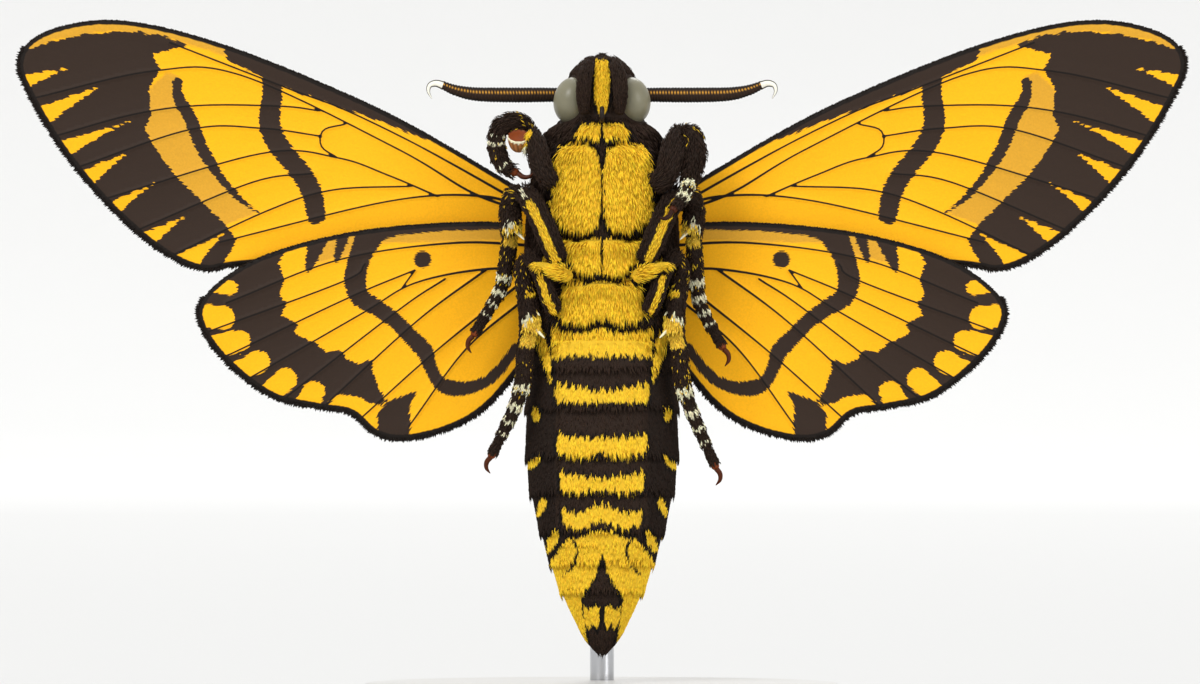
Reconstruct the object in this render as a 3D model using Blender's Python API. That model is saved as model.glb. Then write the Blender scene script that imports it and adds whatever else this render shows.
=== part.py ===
"""A death's head hawkmoth with its wings spread, life size, held upright on a plain display stand.

+Z runs from the moth's tail to its head, its belly faces -Y and its back +Y. Left and right are the
moth's own, so its left side is at +X. Named sizes are in millimetres, with heights counted from the tip
of the tail, and place() turns them into metres above the floor. The origin is the middle of the base's
underside. Leg and wing points are given for the left side, and the right side mirrors them."""

import math

import bmesh
import bpy
import numpy as np
from mathutils import Matrix, Vector, geometry

MM = 0.001
GAP = 0.3  # clearance that two neighbouring solids keep
LEG_CLEARANCE = 0.5  # clearance between a leg and the trunk it lies along
SIDES = {"left": 1.0, "right": -1.0}

# How finely curves and round forms are divided
CURVE_STEPS = 12  # steps between two given points while a curve is measured
LIMB_SIDES = 8
FINE_SIDES = 6  # claws, spurs, the feelers' hooks and the tongue
ROD_SIDES = 12
BASE_SIDES = 48
LOBE_MESH = {"segments": 14, "rings": 8}
EYE_MESH = {"segments": 20, "rings": 14}
HEAD_MESH = {"segments": 24, "rings": 16}
CREASE_ANGLE = 40.0  # edges sharper than this, in degrees, stay sharp in the shading

# Colours
DARK = (0.055, 0.04, 0.032)
YELLOW = (0.9, 0.5, 0.03)
RED_BROWN = (0.24, 0.06, 0.02)
GREY_GREEN = (0.27, 0.25, 0.17)
FEELER_BROWN = (0.13, 0.07, 0.03)
TONGUE_BLACK = (0.02, 0.016, 0.012)
WHITE = (0.85, 0.85, 0.83)
STEEL = (0.62, 0.63, 0.65)
COAT_ROUGHNESS = 0.7
EYE_ROUGHNESS = 0.3
BASE_ROUGHNESS = 0.4
STEEL_ROUGHNESS = 0.25

# The stand
BASE_RADIUS = 24.0
BASE_HEIGHT = 4.0
BASE_EDGE = 0.8
TAIL_CLEARANCE = 3.0
LIFT = BASE_HEIGHT + TAIL_CLEARANCE  # the tail's tip above the floor
ROD_RADIUS = 1.2
ROD_BACK = 9.4  # how far the rod stands behind the body's axis
ROD_BEND = 35.5  # where it starts to bend forward, above the tail's tip
ROD_END = 40.0  # where it meets the back
ROD_STRAIGHT_POINTS = 4
ROD_BEND_POINTS = 8

# The trunk: height above the tail's tip, half width, depth to the belly, depth to the back
TRUNK_ROWS = (
    (0.0, 0.9, 0.8, 0.8),
    (1.2, 2.0, 1.6, 1.7),
    (3.5, 3.35, 2.6, 2.8),
    (6.4, 4.7, 3.6, 3.8),
    (9.6, 5.85, 4.4, 4.7),
    (13.0, 6.85, 5.0, 5.4),
    (17.0, 7.75, 5.6, 6.0),
    (22.0, 8.05, 6.0, 6.4),
    (27.0, 7.9, 6.1, 6.5),
    (31.0, 7.75, 6.1, 6.5),
    (36.0, 7.8, 6.2, 7.2),
    (41.0, 7.75, 6.3, 7.9),
    (46.0, 7.3, 6.1, 7.7),
    (50.0, 6.5, 5.3, 6.6),
    (52.0, 5.5, 4.3, 5.0),
    (53.2, 4.4, 3.3, 3.7),
)
TRUNK_SIDES = 28
TRUNK_CUTTER_ROWS = 24
THORAX_ROWS = 11
WAIST = 31.0  # the joint between thorax and abdomen
NECK = 53.1  # the joint between thorax and head
RING_EDGES = (28.4, 24.6, 19.8, 16.2, 12.3, 9.1, 6.3)  # rear edges of the abdomen's rings
RING_STEP = 0.28  # how far each ring stands over the next one
RING_EDGE = 0.12  # half the height over which it does so
TAIL_HEIGHTS = (4.4, 2.4, 0.9, 0.0)

# Lobes of the thorax: middle x, height, half width, half height, how far they stand out, lean in degrees
BELLY_LOBES = (
    (2.75, 46.0, 2.6, 4.8, 0.75, 6.0),
    (2.2, 39.4, 2.1, 2.5, 0.7, 4.0),
    (2.4, 34.2, 2.5, 2.7, 0.55, 0.0),
    (4.6, 37.9, 2.2, 1.0, 0.7, 24.0),
)
LOBE_THICKNESS = 1.6
SHOULDER = {"x": 5.3, "y": 4.7, "z": 46.4, "size": (1.9, 2.3, 5.6), "lean": 9.0}
COLLAR_LOBE = {"x": 2.0, "y": -2.6, "z": 51.6, "size": (2.1, 2.3, 1.3)}

# The head
NECK_BLOCK = {"half_width": 12.0, "foot": 48.0}  # what cuts the head off flat above the neck's joint
HEAD_CENTRE = (0.0, -0.2, 55.0)
HEAD_SIZE = (4.3, 3.4, 4.0)
EYE_CENTRE = (3.0, -0.9, 55.1)
EYE_SIZE = (1.95, 2.2, 2.35)
FRONS_PATH = ((0.0, -2.9, 54.0), (0.0, -3.35, 55.5), (0.0, -3.1, 57.3), (0.0, -2.2, 58.7))
FRONS_RADIUS = 0.72
FRONS_POINTS = 7
PALP_PATH = ((1.75, -3.3, 53.75), (1.85, -3.9, 55.3), (1.75, -3.7, 57.2), (1.35, -2.7, 58.7))
PALP_RADII = (0.62, 0.82, 0.85, 0.7)
PALP_POINTS = 7
ANTENNA_PATH = (
    (2.2, 2.3, 55.7),
    (5.5, 2.2, 55.75),
    (9.0, 1.9, 55.8),
    (12.6, 1.5, 55.9),
    (14.6, 1.3, 56.25),
    (15.9, 1.2, 56.75),
)
ANTENNA_RADII = (0.64, 0.72, 0.76, 0.74, 0.6, 0.38)
ANTENNA_POINTS = 12
HOOK_PATH = (
    (15.8, 1.2, 56.7), (16.6, 1.15, 57.0), (17.2, 1.1, 56.75), (17.35, 1.05, 56.1), (17.0, 1.0, 55.3),
)
HOOK_RADII = (0.33, 0.26, 0.22, 0.18, 0.08)
HOOK_POINTS = 9
PROBOSCIS_CENTRE = (0.0, -4.5, 54.35)
PROBOSCIS_OUTER = 0.78
PROBOSCIS_RADIUS = 0.24
PROBOSCIS_TURNS = 1.2
PROBOSCIS_CLOSING = 0.62  # how much the coil closes in over those turns
PROBOSCIS_POINTS = 18
HEAD_FRONT = -2.9  # y at which the tongue starts

# The wings, as seen from the belly side: x outwards and height above the tail's tip
FOREWING_OUTLINE = (
    (5.5, 44.6), (11.3, 48.2), (20.2, 53.3), (28.2, 57.0), (36.5, 60.3), (43.9, 62.5), (49.5, 63.25),
    (54.1, 62.65), (57.3, 61.2), (58.45, 59.0), (57.6, 56.3), (54.4, 50.8), (50.4, 45.8), (45.9, 41.5),
    (42.3, 39.1), (39.6, 38.3), (37.6, 38.6), (34.0, 39.0), (25.0, 40.1), (14.0, 41.5), (5.5, 41.8),
)
HINDWING_OUTLINE = (
    (5.5, 42.6), (12.0, 43.0), (20.2, 42.6), (27.0, 41.6), (33.4, 39.8), (37.4, 37.7), (40.1, 35.0),
    (40.0, 32.4), (37.4, 28.9), (33.0, 25.6), (28.4, 24.5), (25.1, 23.9), (22.7, 21.9), (20.0, 21.3),
    (15.9, 22.15), (12.2, 24.05), (8.8, 27.7), (5.5, 33.0),
)
FOREWING_VEINS = {
    "subcosta": ((6.5, 44.0), (14.6, 48.2), (26.1, 54.9), (43.3, 61.0)),
    "radius": ((6.5, 43.8), (12.7, 45.8), (20.6, 50.4), (36.1, 57.7), (45.0, 58.15), (57.2, 55.4)),
    "radial_branch": ((29.5, 54.5), (40.2, 54.7), (47.0, 53.8), (55.0, 51.6)),
    "cell_end": ((25.8, 52.8), (27.9, 52.2), (28.1, 50.6), (26.5, 49.45)),
    "media": ((28.1, 51.6), (34.0, 52.4), (41.2, 52.3), (52.6, 48.5)),
    "cell_base": ((16.5, 45.6), (21.3, 47.65), (26.5, 49.45), (34.0, 49.9), (50.0, 45.3)),
    "cubitus": ((26.5, 48.0), (35.0, 47.0), (46.6, 42.2)),
    "branch": ((19.2, 46.6), (27.1, 46.2), (33.5, 44.15), (43.0, 39.7)),
    "anal": ((6.5, 43.9), (12.0, 45.6), (21.3, 45.1), (38.3, 41.0)),
}
HINDWING_VEINS = {
    "subcosta": ((6.0, 40.6), (14.9, 40.9), (26.4, 39.2), (37.6, 34.9)),
    "radius": ((22.0, 40.1), (25.8, 37.1), (39.8, 31.9)),
    "media_one": ((18.7, 38.2), (25.4, 35.4), (38.0, 29.4)),
    "media_two": ((6.0, 38.0), (11.5, 38.3), (18.7, 36.9), (24.1, 33.8), (35.6, 27.2)),
    "cell_end": ((18.7, 38.2), (20.0, 36.4)),
    "media_three": ((15.7, 37.3), (20.2, 34.3), (32.1, 25.1)),
    "cubitus": ((11.5, 38.3), (18.5, 33.1), (28.0, 24.4)),
    "anal_one": ((8.0, 37.0), (16.6, 30.1), (24.2, 23.3)),
    "anal_two": ((7.6, 35.4), (13.6, 30.3), (19.3, 22.6)),
}
MEMBRANE = 0.5
WING_EDGE_POINTS = 64
VEIN_STEP = 4.0
VEIN_FADE = 1.5  # how far from the wing's edge the veins start to sink into it
VEIN_HALF_WIDTH = 0.32
VEIN_RISE_FRONT = 0.3
VEIN_RISE_BACK = 0.12
FOREWING_FRONT = 3.6  # y of the forewing's membrane at its root
HINDWING_FRONT = 2.3
WING_SWEEP = 0.0009  # how fast the wings bend back towards the tips
WING_BOW = {"forewing": (50.0, 0.0024), "hindwing": (41.5, 0.004)}  # height of the fold, bend behind it
ROOT_X = 7.5
WING_GAP = 0.38  # clearance of the wing from the trunk, whose rings stand out a little

# The legs, as (x, height, extra distance from the body) with a radius for each point
LEGS = {
    ("foreleg", "left", "femur"): (
        ((4.9, 46.4, -1.4), (6.3, 47.5, -0.1), (6.85, 49.1, 0.0), (7.15, 50.5, 0.1), (7.8, 51.7, 0.4)),
        (0.95, 1.05, 1.1, 1.05, 0.95),
    ),
    ("foreleg", "left", "tibia"): (
        ((7.9, 51.3, 0.6), (8.8, 51.7, 1.8), (9.2, 50.2, 2.8), (9.1, 48.6, 3.8), (8.7, 47.2, 4.6)),
        (0.8, 1.1, 1.2, 1.1, 0.9),
    ),
    ("foreleg", "left", "tarsus"): (
        ((8.75, 47.4, 4.5), (8.4, 46.0, 4.6), (7.8, 45.0, 4.2), (7.2, 44.3, 3.9)),
        (0.72, 0.78, 0.7, 0.6),
    ),
    ("foreleg", "right", "femur"): (
        ((4.9, 46.6, -1.4), (5.6, 47.6, -0.2), (6.2, 49.0, 0.0), (6.6, 50.6, 0.1), (7.3, 51.8, 0.5)),
        (0.95, 1.0, 1.05, 1.0, 0.95),
    ),
    ("foreleg", "right", "tibia"): (
        ((7.2, 51.6, 0.4), (7.8, 52.6, 1.2), (8.9, 52.9, 2.0), (10.0, 52.5, 2.3), (10.5, 51.5, 2.3)),
        (0.8, 0.95, 0.98, 0.92, 0.8),
    ),
    ("foreleg", "right", "tarsus"): (
        ((10.4, 51.8, 2.4), (10.5, 50.5, 2.3), (10.2, 49.3, 2.2), (9.6, 48.4, 2.3), (8.8, 48.0, 2.6)),
        (0.7, 0.78, 0.75, 0.68, 0.58),
    ),
    ("midleg", "both", "femur"): (
        ((4.2, 38.9, -1.4), (5.1, 40.9, 0.0), (6.0, 43.0, 0.0), (7.0, 44.9, 0.0), (7.9, 46.0, 0.2)),
        (1.05, 1.15, 1.15, 1.1, 0.95),
    ),
    ("midleg", "both", "tibia"): (
        ((7.9, 45.8, 0.2), (8.8, 45.7, 1.9), (9.15, 44.3, 2.1), (9.1, 42.9, 2.0), (9.0, 41.8, 1.9)),
        (0.8, 1.0, 1.12, 1.12, 1.05),
    ),
    ("midleg", "left", "tarsus"): (
        ((9.05, 42.1, 1.9), (9.2, 40.4, 1.8), (9.35, 37.4, 1.7), (9.9, 34.5, 1.6), (11.9, 30.7, 1.3)),
        (0.85, 0.95, 0.85, 0.74, 0.55),
    ),
    ("midleg", "right", "tarsus"): (
        ((9.05, 42.1, 1.9), (9.3, 40.4, 1.8), (9.6, 38.4, 1.7), (10.2, 36.1, 1.6), (12.6, 32.0, 1.3)),
        (0.85, 0.95, 0.85, 0.74, 0.55),
    ),
    ("hindleg", "both", "femur"): (
        ((4.6, 33.9, -1.2), (5.3, 35.4, 0.0), (5.9, 37.3, 0.0), (6.8, 38.9, 0.0), (7.5, 39.6, 0.1)),
        (0.85, 0.85, 0.8, 0.75, 0.7),
    ),
    ("hindleg", "both", "tibia"): (
        ((7.5, 39.5, 0.1), (8.0, 38.4, 0.4), (7.75, 36.6, 0.2), (7.3, 34.3, 0.0), (7.15, 31.9, 0.0)),
        (0.62, 0.78, 0.9, 1.05, 1.1),
    ),
    ("hindleg", "left", "tarsus"): (
        ((7.2, 32.1, 0.0), (7.7, 30.4, 0.1), (8.0, 27.0, 0.3), (8.9, 24.2, 1.8), (11.2, 18.8, 2.4)),
        (0.9, 0.98, 0.88, 0.76, 0.55),
    ),
    ("hindleg", "right", "tarsus"): (
        ((7.2, 32.1, 0.0), (7.6, 30.6, 0.1), (7.9, 27.0, 0.3), (8.8, 24.2, 1.8), (10.9, 19.9, 2.4)),
        (0.9, 0.98, 0.88, 0.76, 0.55),
    ),
}
TARSOMERES = {  # ends of a foot's joints along it
    "foreleg": (0.3, 0.55, 0.78),
    "midleg": (0.5, 0.64, 0.76, 0.88),
    "hindleg": (0.5, 0.64, 0.76, 0.88),
}
TARSOMERE_STEP = 0.12  # how far each tarsomere stands over the next one's start
LEG_POINTS = {"femur": 8, "tibia": 9, "tarsus": 15}
PRETARSUS_RADIUS = 0.42
PRETARSUS_REACH = (-0.8, 0.15, 0.55)  # its points along the foot, from the foot's end
CLAW_ROOT = 0.45
CLAW_POINTS = 6
CLAW_RADII = (0.3, 0.28, 0.22, 0.1)
CLAW_CURL = ((0.0, 0.0), (0.15, 0.65), (-0.1, 1.25), (-0.75, 1.6))  # across and along the foot
CLAW_SPREAD = 0.32
SPURS = {"midleg": ((0.85, 1.5),), "hindleg": ((0.88, 1.8), (0.6, 1.2))}  # place on the tibia, length
SPUR_WAY = (-0.8, -0.55, -0.8)  # inwards, forwards and down
SPUR_RADII = (0.27, 0.243, 0.1)
SPUR_BEND = 0.6  # place of the middle point along the spur
SPUR_ROOT = 0.8  # length that lies inside the tibia
PAD = {"centre": (8.4, -3.0, 51.5), "size": (1.1, 0.75, 0.8), "tilt": -12.0}  # on the right foreleg


def place(x, y, z):
    """A point given in millimetres from the tail's tip, in metres above the floor."""
    return Vector((x * MM, y * MM, (z + LIFT) * MM))


def through(points, count):
    """count points evenly spread along a smooth curve through the given ones."""
    p = np.array(points, float)
    ends = np.vstack([2 * p[0] - p[1], p, 2 * p[-1] - p[-2]])
    fine = []
    for i in range(1, len(ends) - 2):
        t = np.linspace(0, 1, CURVE_STEPS, endpoint=False)[:, None]
        a, b, c, d = ends[i - 1 : i + 3]
        cubic = (3 * b - a - 3 * c + d) * t**3
        fine.append(0.5 * (2 * b + (c - a) * t + (2 * a - 5 * b + 4 * c - d) * t**2 + cubic))
    fine = np.vstack(fine + [p[-1:]])
    run = np.concatenate([[0], np.cumsum(np.linalg.norm(np.diff(fine[:, :3], axis=0), axis=1))])
    wanted = np.linspace(0, run[-1], count)
    return np.column_stack([np.interp(wanted, run, column) for column in fine.T])


def trunk_at(z):
    """Half width, belly depth and back depth of the trunk at a height, on a smooth curve."""
    rows = np.array(TRUNK_ROWS, float)
    z = min(max(z, rows[0, 0]), rows[-1, 0])
    slopes = np.gradient(rows[:, 1:], rows[:, 0], axis=0)
    i = min(np.searchsorted(rows[:, 0], z, side="right") - 1, len(rows) - 2)
    width = rows[i + 1, 0] - rows[i, 0]
    t = (z - rows[i, 0]) / width
    return (
        (2 * t**3 - 3 * t**2 + 1) * rows[i, 1:]
        + (t**3 - 2 * t**2 + t) * width * slopes[i]
        + (3 * t**2 - 2 * t**3) * rows[i + 1, 1:]
        + (t**3 - t**2) * width * slopes[i + 1]
    )


def trunk_point(z, turn, grow=0.0):
    """The trunk's surface at a height and an angle, where -90 degrees is the middle of the belly."""
    half, belly, back = trunk_at(z) + grow
    depth = belly if math.sin(turn) < 0 else back
    return place(half * math.cos(turn), depth * math.sin(turn), z)


def beside_trunk(x, z, radius, extra):
    """y of a limb of that radius that lies over the belly side of the trunk with the usual gap."""
    half, belly, _ = trunk_at(z) + radius + LEG_CLEARANCE
    rest = 1.0 - (x / half) ** 2
    return -belly * math.sqrt(rest) - extra if rest > 0 else -extra


def node(name, bm, colour, roughness=COAT_ROUGHNESS, metallic=0.0):
    """Makes one named object from a bmesh, with its own material."""
    mesh = bpy.data.meshes.new(name)
    bm.to_mesh(mesh)
    bm.free()
    made = bpy.data.objects.new(name, mesh)
    bpy.context.scene.collection.objects.link(made)
    material = bpy.data.materials.new(name)
    material.use_nodes = True
    shader = material.node_tree.nodes["Principled BSDF"]
    shader.inputs["Base Color"].default_value = (*colour, 1.0)
    shader.inputs["Roughness"].default_value = roughness
    shader.inputs["Metallic"].default_value = metallic
    mesh.materials.append(material)
    return made


def applied(thing):
    """Replaces an object's mesh by what its modifiers make of it."""
    graph = bpy.context.evaluated_depsgraph_get()
    mesh = bpy.data.meshes.new_from_object(thing.evaluated_get(graph))
    thing.modifiers.clear()
    thing.data = mesh
    return thing


def keep_largest(thing):
    """Leaves only the object's largest closed surface."""
    bm = bmesh.new()
    bm.from_mesh(thing.data)
    left, shells = set(bm.faces), []
    while left:
        shell, edge = set(), [left.pop()]
        while edge:
            face = edge.pop()
            shell.add(face)
            for near in (f for e in face.edges for f in e.link_faces if f in left):
                left.discard(near)
                edge.append(near)
        shells.append(shell)
    largest = max(shells, key=lambda shell: sum(f.calc_area() for f in shell))
    loose = [f for shell in shells if shell is not largest for f in shell]
    bmesh.ops.delete(bm, geom=loose, context="FACES")
    bm.to_mesh(thing.data)
    bm.free()


def boolean(thing, others, operation):
    """Joins closed meshes to a node, or cuts them from it, in one go, and removes them."""
    if not others:
        return thing
    group = bpy.data.collections.new(thing.name + "_pieces")
    bpy.context.scene.collection.children.link(group)
    for other in others:
        bpy.context.scene.collection.objects.unlink(other)
        group.objects.link(other)
    step = thing.modifiers.new(operation.lower(), "BOOLEAN")
    step.operation = operation
    step.solver = "EXACT"
    step.operand_type = "COLLECTION"
    step.collection = group
    applied(thing)
    for other in others:
        bpy.data.objects.remove(other)
    bpy.data.collections.remove(group)
    keep_largest(thing)
    return thing


def lofted(heights, sides, section):
    """A closed skin: a ring extruded up the heights, with section(height, angle) placing each point."""
    bm = bmesh.new()
    turn = bm.verts.layers.float.new("turn")
    ring = bmesh.ops.create_circle(bm, cap_ends=False, segments=sides, radius=1.0)["verts"]
    for v in ring:
        v[turn] = math.atan2(v.co.y, v.co.x)
        v.co = section(heights[0], v[turn])
    edges = list(bm.edges)
    for height in heights[1:]:
        made = bmesh.ops.extrude_edge_only(bm, edges=edges)["geom"]
        ring = {item for item in made if isinstance(item, bmesh.types.BMVert)}
        edges = [e for e in bm.edges if e.verts[0] in ring and e.verts[1] in ring]
        for v in ring:
            v.co = section(height, v[turn])
    bmesh.ops.holes_fill(bm, edges=bm.edges, sides=0)
    bmesh.ops.recalc_face_normals(bm, faces=bm.faces)
    return bm


def ellipsoid(centre, size, lean=0.0, tip=0.0, segments=16, rings=10):
    """A ball of three half sizes, leaning about Y and tipped about X by degrees."""
    bm = bmesh.new()
    bmesh.ops.create_uvsphere(bm, u_segments=segments, v_segments=rings, radius=1.0)
    bmesh.ops.scale(bm, vec=Vector(size) * MM, verts=bm.verts)
    turn = Matrix.Rotation(math.radians(lean), 3, "Y") @ Matrix.Rotation(math.radians(tip), 3, "X")
    bmesh.ops.rotate(bm, cent=(0, 0, 0), matrix=turn, verts=bm.verts)
    bmesh.ops.translate(bm, vec=place(*centre), verts=bm.verts)
    return bm


def tube(points, radii, sides=LIMB_SIDES):
    """A round limb of changing radius along the given points in millimetres, as a closed bmesh."""
    curve = bpy.data.curves.new("limb", "CURVE")
    curve.dimensions = "3D"
    curve.bevel_depth = MM
    curve.bevel_resolution = (sides - 4) // 2
    curve.use_fill_caps = True
    spline = curve.splines.new("POLY")
    spline.points.add(len(points) - 1)
    for knot, point, radius in zip(spline.points, points, radii):
        knot.co = (*place(*point), 1.0)
        knot.radius = radius
    helper = bpy.data.objects.new("limb", curve)
    bpy.context.scene.collection.objects.link(helper)
    graph = bpy.context.evaluated_depsgraph_get()
    mesh = bpy.data.meshes.new_from_object(helper.evaluated_get(graph))
    bm = bmesh.new()
    bm.from_mesh(mesh)
    bmesh.ops.remove_doubles(bm, verts=bm.verts, dist=MM / 1000)
    bmesh.ops.recalc_face_normals(bm, faces=bm.faces)
    bpy.data.objects.remove(helper)
    bpy.data.curves.remove(curve)
    bpy.data.meshes.remove(mesh)
    return bm


def evenly(values, count):
    """The values spread evenly over a number of points."""
    return np.interp(np.linspace(0, 1, count), np.linspace(0, 1, len(values)), values)


def mirrored(points, side):
    """The points with x turned to the given side."""
    return [(x * side, *rest) for x, *rest in points]


def ring_share(z):
    """How far down its own ring of the abdomen a height lies, from 0 to 1."""
    edges = (WAIST, *RING_EDGES, 0.0)
    for top, bottom in zip(edges, edges[1:]):
        if bottom <= z <= top:
            return (top - z) / (top - bottom)
    return 0.0


def abdomen_heights():
    """The heights at which the abdomen bends: three for each of its rings, then the tip."""
    edges = (WAIST - GAP / 2, *RING_EDGES)
    heights = [edges[0]]
    for top, bottom in zip(edges, edges[1:]):
        heights += [(top + bottom) / 2, bottom + RING_EDGE, bottom - RING_EDGE]
    return [*heights, *TAIL_HEIGHTS]


def abdomen_point(z, turn, grow=0.0):
    """The abdomen's surface, with each ring widening a little towards its rear edge."""
    return trunk_point(z, turn, grow + RING_STEP * (ring_share(z) - 0.5))


def trunk_clearance(grow=GAP):
    """The smooth trunk grown by a clearance, as a cutter for what sits on it."""
    heights = list(np.linspace(TRUNK_ROWS[0][0], TRUNK_ROWS[-1][0], TRUNK_CUTTER_ROWS))
    skin = lofted(heights, TRUNK_SIDES, lambda z, turn: trunk_point(z, turn, grow))
    return [node("clearance", skin, DARK)]


def lobe(x, z, half_width, half_height, rise, lean, side, grow):
    """One belly plate of the thorax, a flattened ball that stands out of the trunk."""
    half, belly, _ = trunk_at(z)
    y = -belly * math.sqrt(1.0 - (x / half) ** 2) - rise + LOBE_THICKNESS
    size = (half_width + grow, LOBE_THICKNESS + grow, half_height + grow)
    slope = math.degrees(math.atan2(x * belly, half * half))
    bm = ellipsoid((0, 0, 0), size, lean * side, **LOBE_MESH)
    bmesh.ops.translate(bm, vec=-place(0, 0, 0), verts=bm.verts)
    turn = Matrix.Rotation(math.radians(slope * side), 3, "Z")
    bmesh.ops.rotate(bm, cent=(0, 0, 0), matrix=turn, verts=bm.verts)
    bmesh.ops.translate(bm, vec=place(x * side, y, z), verts=bm.verts)
    return node("lobe", bm, YELLOW)


def thorax_lobes(grow):
    """The plates of the belly, the shoulders over the wing roots and the collar, on both sides."""
    made = []
    for side in SIDES.values():
        made += [lobe(*row, side, grow) for row in BELLY_LOBES]
        for spot in (SHOULDER, COLLAR_LOBE):
            size = [s + grow for s in spot["size"]]
            centre = (spot["x"] * side, spot["y"], spot["z"])
            made.append(node("lobe", ellipsoid(centre, size, -spot.get("lean", 0.0) * side), DARK))
    return made


def make_thorax():
    """The thorax, from the waist to the neck, with its plates raised in one body."""
    heights = list(np.linspace(WAIST + GAP / 2, NECK - GAP / 2, THORAX_ROWS))
    thorax = node("thorax", lofted(heights, TRUNK_SIDES, trunk_point), YELLOW)
    boolean(thorax, thorax_lobes(0.0), "UNION")
    eyes = [node("clearance", eye(side, GAP), DARK) for side in SIDES.values()]
    return boolean(thorax, eyes, "DIFFERENCE")


def make_abdomen():
    """The abdomen, with the rear edge of each ring standing a little over the next."""
    return node("abdomen", lofted(abdomen_heights(), TRUNK_SIDES, abdomen_point), YELLOW)


def neck_cutter(top, bottom):
    """A flat block from one height to another, wider than the trunk."""
    bm = bmesh.new()
    bmesh.ops.create_cube(bm, size=2.0)
    half_width = NECK_BLOCK["half_width"]
    bmesh.ops.scale(bm, vec=Vector((half_width, half_width, (top - bottom) / 2)) * MM, verts=bm.verts)
    bmesh.ops.translate(bm, vec=place(0, 0, (top + bottom) / 2), verts=bm.verts)
    return node("block", bm, DARK)


def eye(side, grow):
    """One compound eye, grown by a clearance where it cuts its own socket."""
    size = [s + grow for s in EYE_SIZE]
    return ellipsoid((EYE_CENTRE[0] * side, *EYE_CENTRE[1:]), size, **EYE_MESH)


def head_pieces(grow):
    """The head's capsule and the raised strip between the palps."""
    capsule = ellipsoid(HEAD_CENTRE, [s + grow for s in HEAD_SIZE], **HEAD_MESH)
    strip = tube(through(FRONS_PATH, FRONS_POINTS), [FRONS_RADIUS + grow] * FRONS_POINTS)
    return capsule, strip


def make_head():
    """The head, its two eyes in their sockets, its palps, feelers and tongue."""
    capsule, strip = head_pieces(0.0)
    head = node("head", capsule, DARK)
    boolean(head, [node("strip", strip, YELLOW)], "UNION")
    sockets = [node("socket", eye(side, GAP), DARK) for side in SIDES.values()]
    boolean(head, [*sockets, neck_cutter(NECK + GAP / 2, NECK_BLOCK["foot"])], "DIFFERENCE")
    for name, side in SIDES.items():
        node("eye_" + name, eye(side, 0.0), GREY_GREEN, EYE_ROUGHNESS)
        palp_path = through(mirrored(PALP_PATH, side), PALP_POINTS)
        palp = node("palp_" + name, tube(palp_path, evenly(PALP_RADII, PALP_POINTS)), DARK)
        boolean(palp, head_clearance(), "DIFFERENCE")
        make_antenna(name, side)
    make_proboscis()


def head_clearance():
    """The head and the eyes grown by the gap, as cutters for what sits on them."""
    capsule, strip = head_pieces(GAP)
    eyes = [node("clearance", eye(side, GAP), DARK) for side in SIDES.values()]
    return [node("clearance", capsule, DARK), node("clearance", strip, DARK), *eyes]


def make_antenna(name, side):
    """One thick feeler with a thin hook at its tip."""
    path = through(mirrored(ANTENNA_PATH, side), ANTENNA_POINTS)
    antenna = node("antenna_" + name, tube(path, evenly(ANTENNA_RADII, ANTENNA_POINTS)), FEELER_BROWN)
    hook_path = through(mirrored(HOOK_PATH, side), HOOK_POINTS)
    hook = tube(hook_path, evenly(HOOK_RADII, HOOK_POINTS), FINE_SIDES)
    boolean(antenna, [node("hook", hook, WHITE)], "UNION")
    boolean(antenna, head_clearance(), "DIFFERENCE")


def make_proboscis():
    """The short tongue, coiled between the palps, with its root against the head."""
    _, y, z = PROBOSCIS_CENTRE
    points = [(0.0, HEAD_FRONT, z)]
    for share in np.linspace(0, 1, PROBOSCIS_POINTS):
        turn = -share * PROBOSCIS_TURNS * 2 * math.pi
        radius = PROBOSCIS_OUTER * (1 - PROBOSCIS_CLOSING * share)
        points.append((0.0, y + radius * math.cos(turn), z + radius * math.sin(turn)))
    radii = [PROBOSCIS_RADIUS] * len(points)
    tongue = node("proboscis", tube(points, radii, FINE_SIDES), TONGUE_BLACK)
    boolean(tongue, head_clearance(), "DIFFERENCE")


def wing_y(kind, x, z):
    """y of the middle of a wing's membrane at a point of the wing."""
    front = FOREWING_FRONT if kind == "forewing" else HINDWING_FRONT
    fold, bend = WING_BOW[kind]
    return front + WING_SWEEP * max(abs(x) - ROOT_X, 0.0) ** 2 + bend * max(fold - z, 0.0) ** 1.5


def segment_distances(points, line):
    """The distance of each point from a line of straight pieces."""
    best = np.full(len(points), 1e9)
    for a, b in zip(line, line[1:]):
        d = b - a
        t = np.clip(((points - a) @ d) / (d @ d), 0, 1)
        best = np.minimum(best, np.linalg.norm(points - a - t[:, None] * d, axis=1))
    return best


def vein_lines(veins, step):
    """Each vein as points about step apart."""
    lines = []
    for points in veins.values():
        length = np.linalg.norm(np.diff(np.array(points), axis=0), axis=1).sum()
        lines.append(through(points, max(2, round(length / step) + 1)))
    return lines


def flanks(line, half):
    """The two feet of a vein's ridge, which meet it at its ends."""
    along = np.gradient(line, axis=0)
    across = np.column_stack([-along[:, 1], along[:, 0]]) / np.linalg.norm(along, axis=1)[:, None]
    taper = np.ones(len(line))
    taper[[0, -1]] = 0.0
    return [line + across * half * taper[:, None] * sign for sign in (1, -1)]


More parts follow.
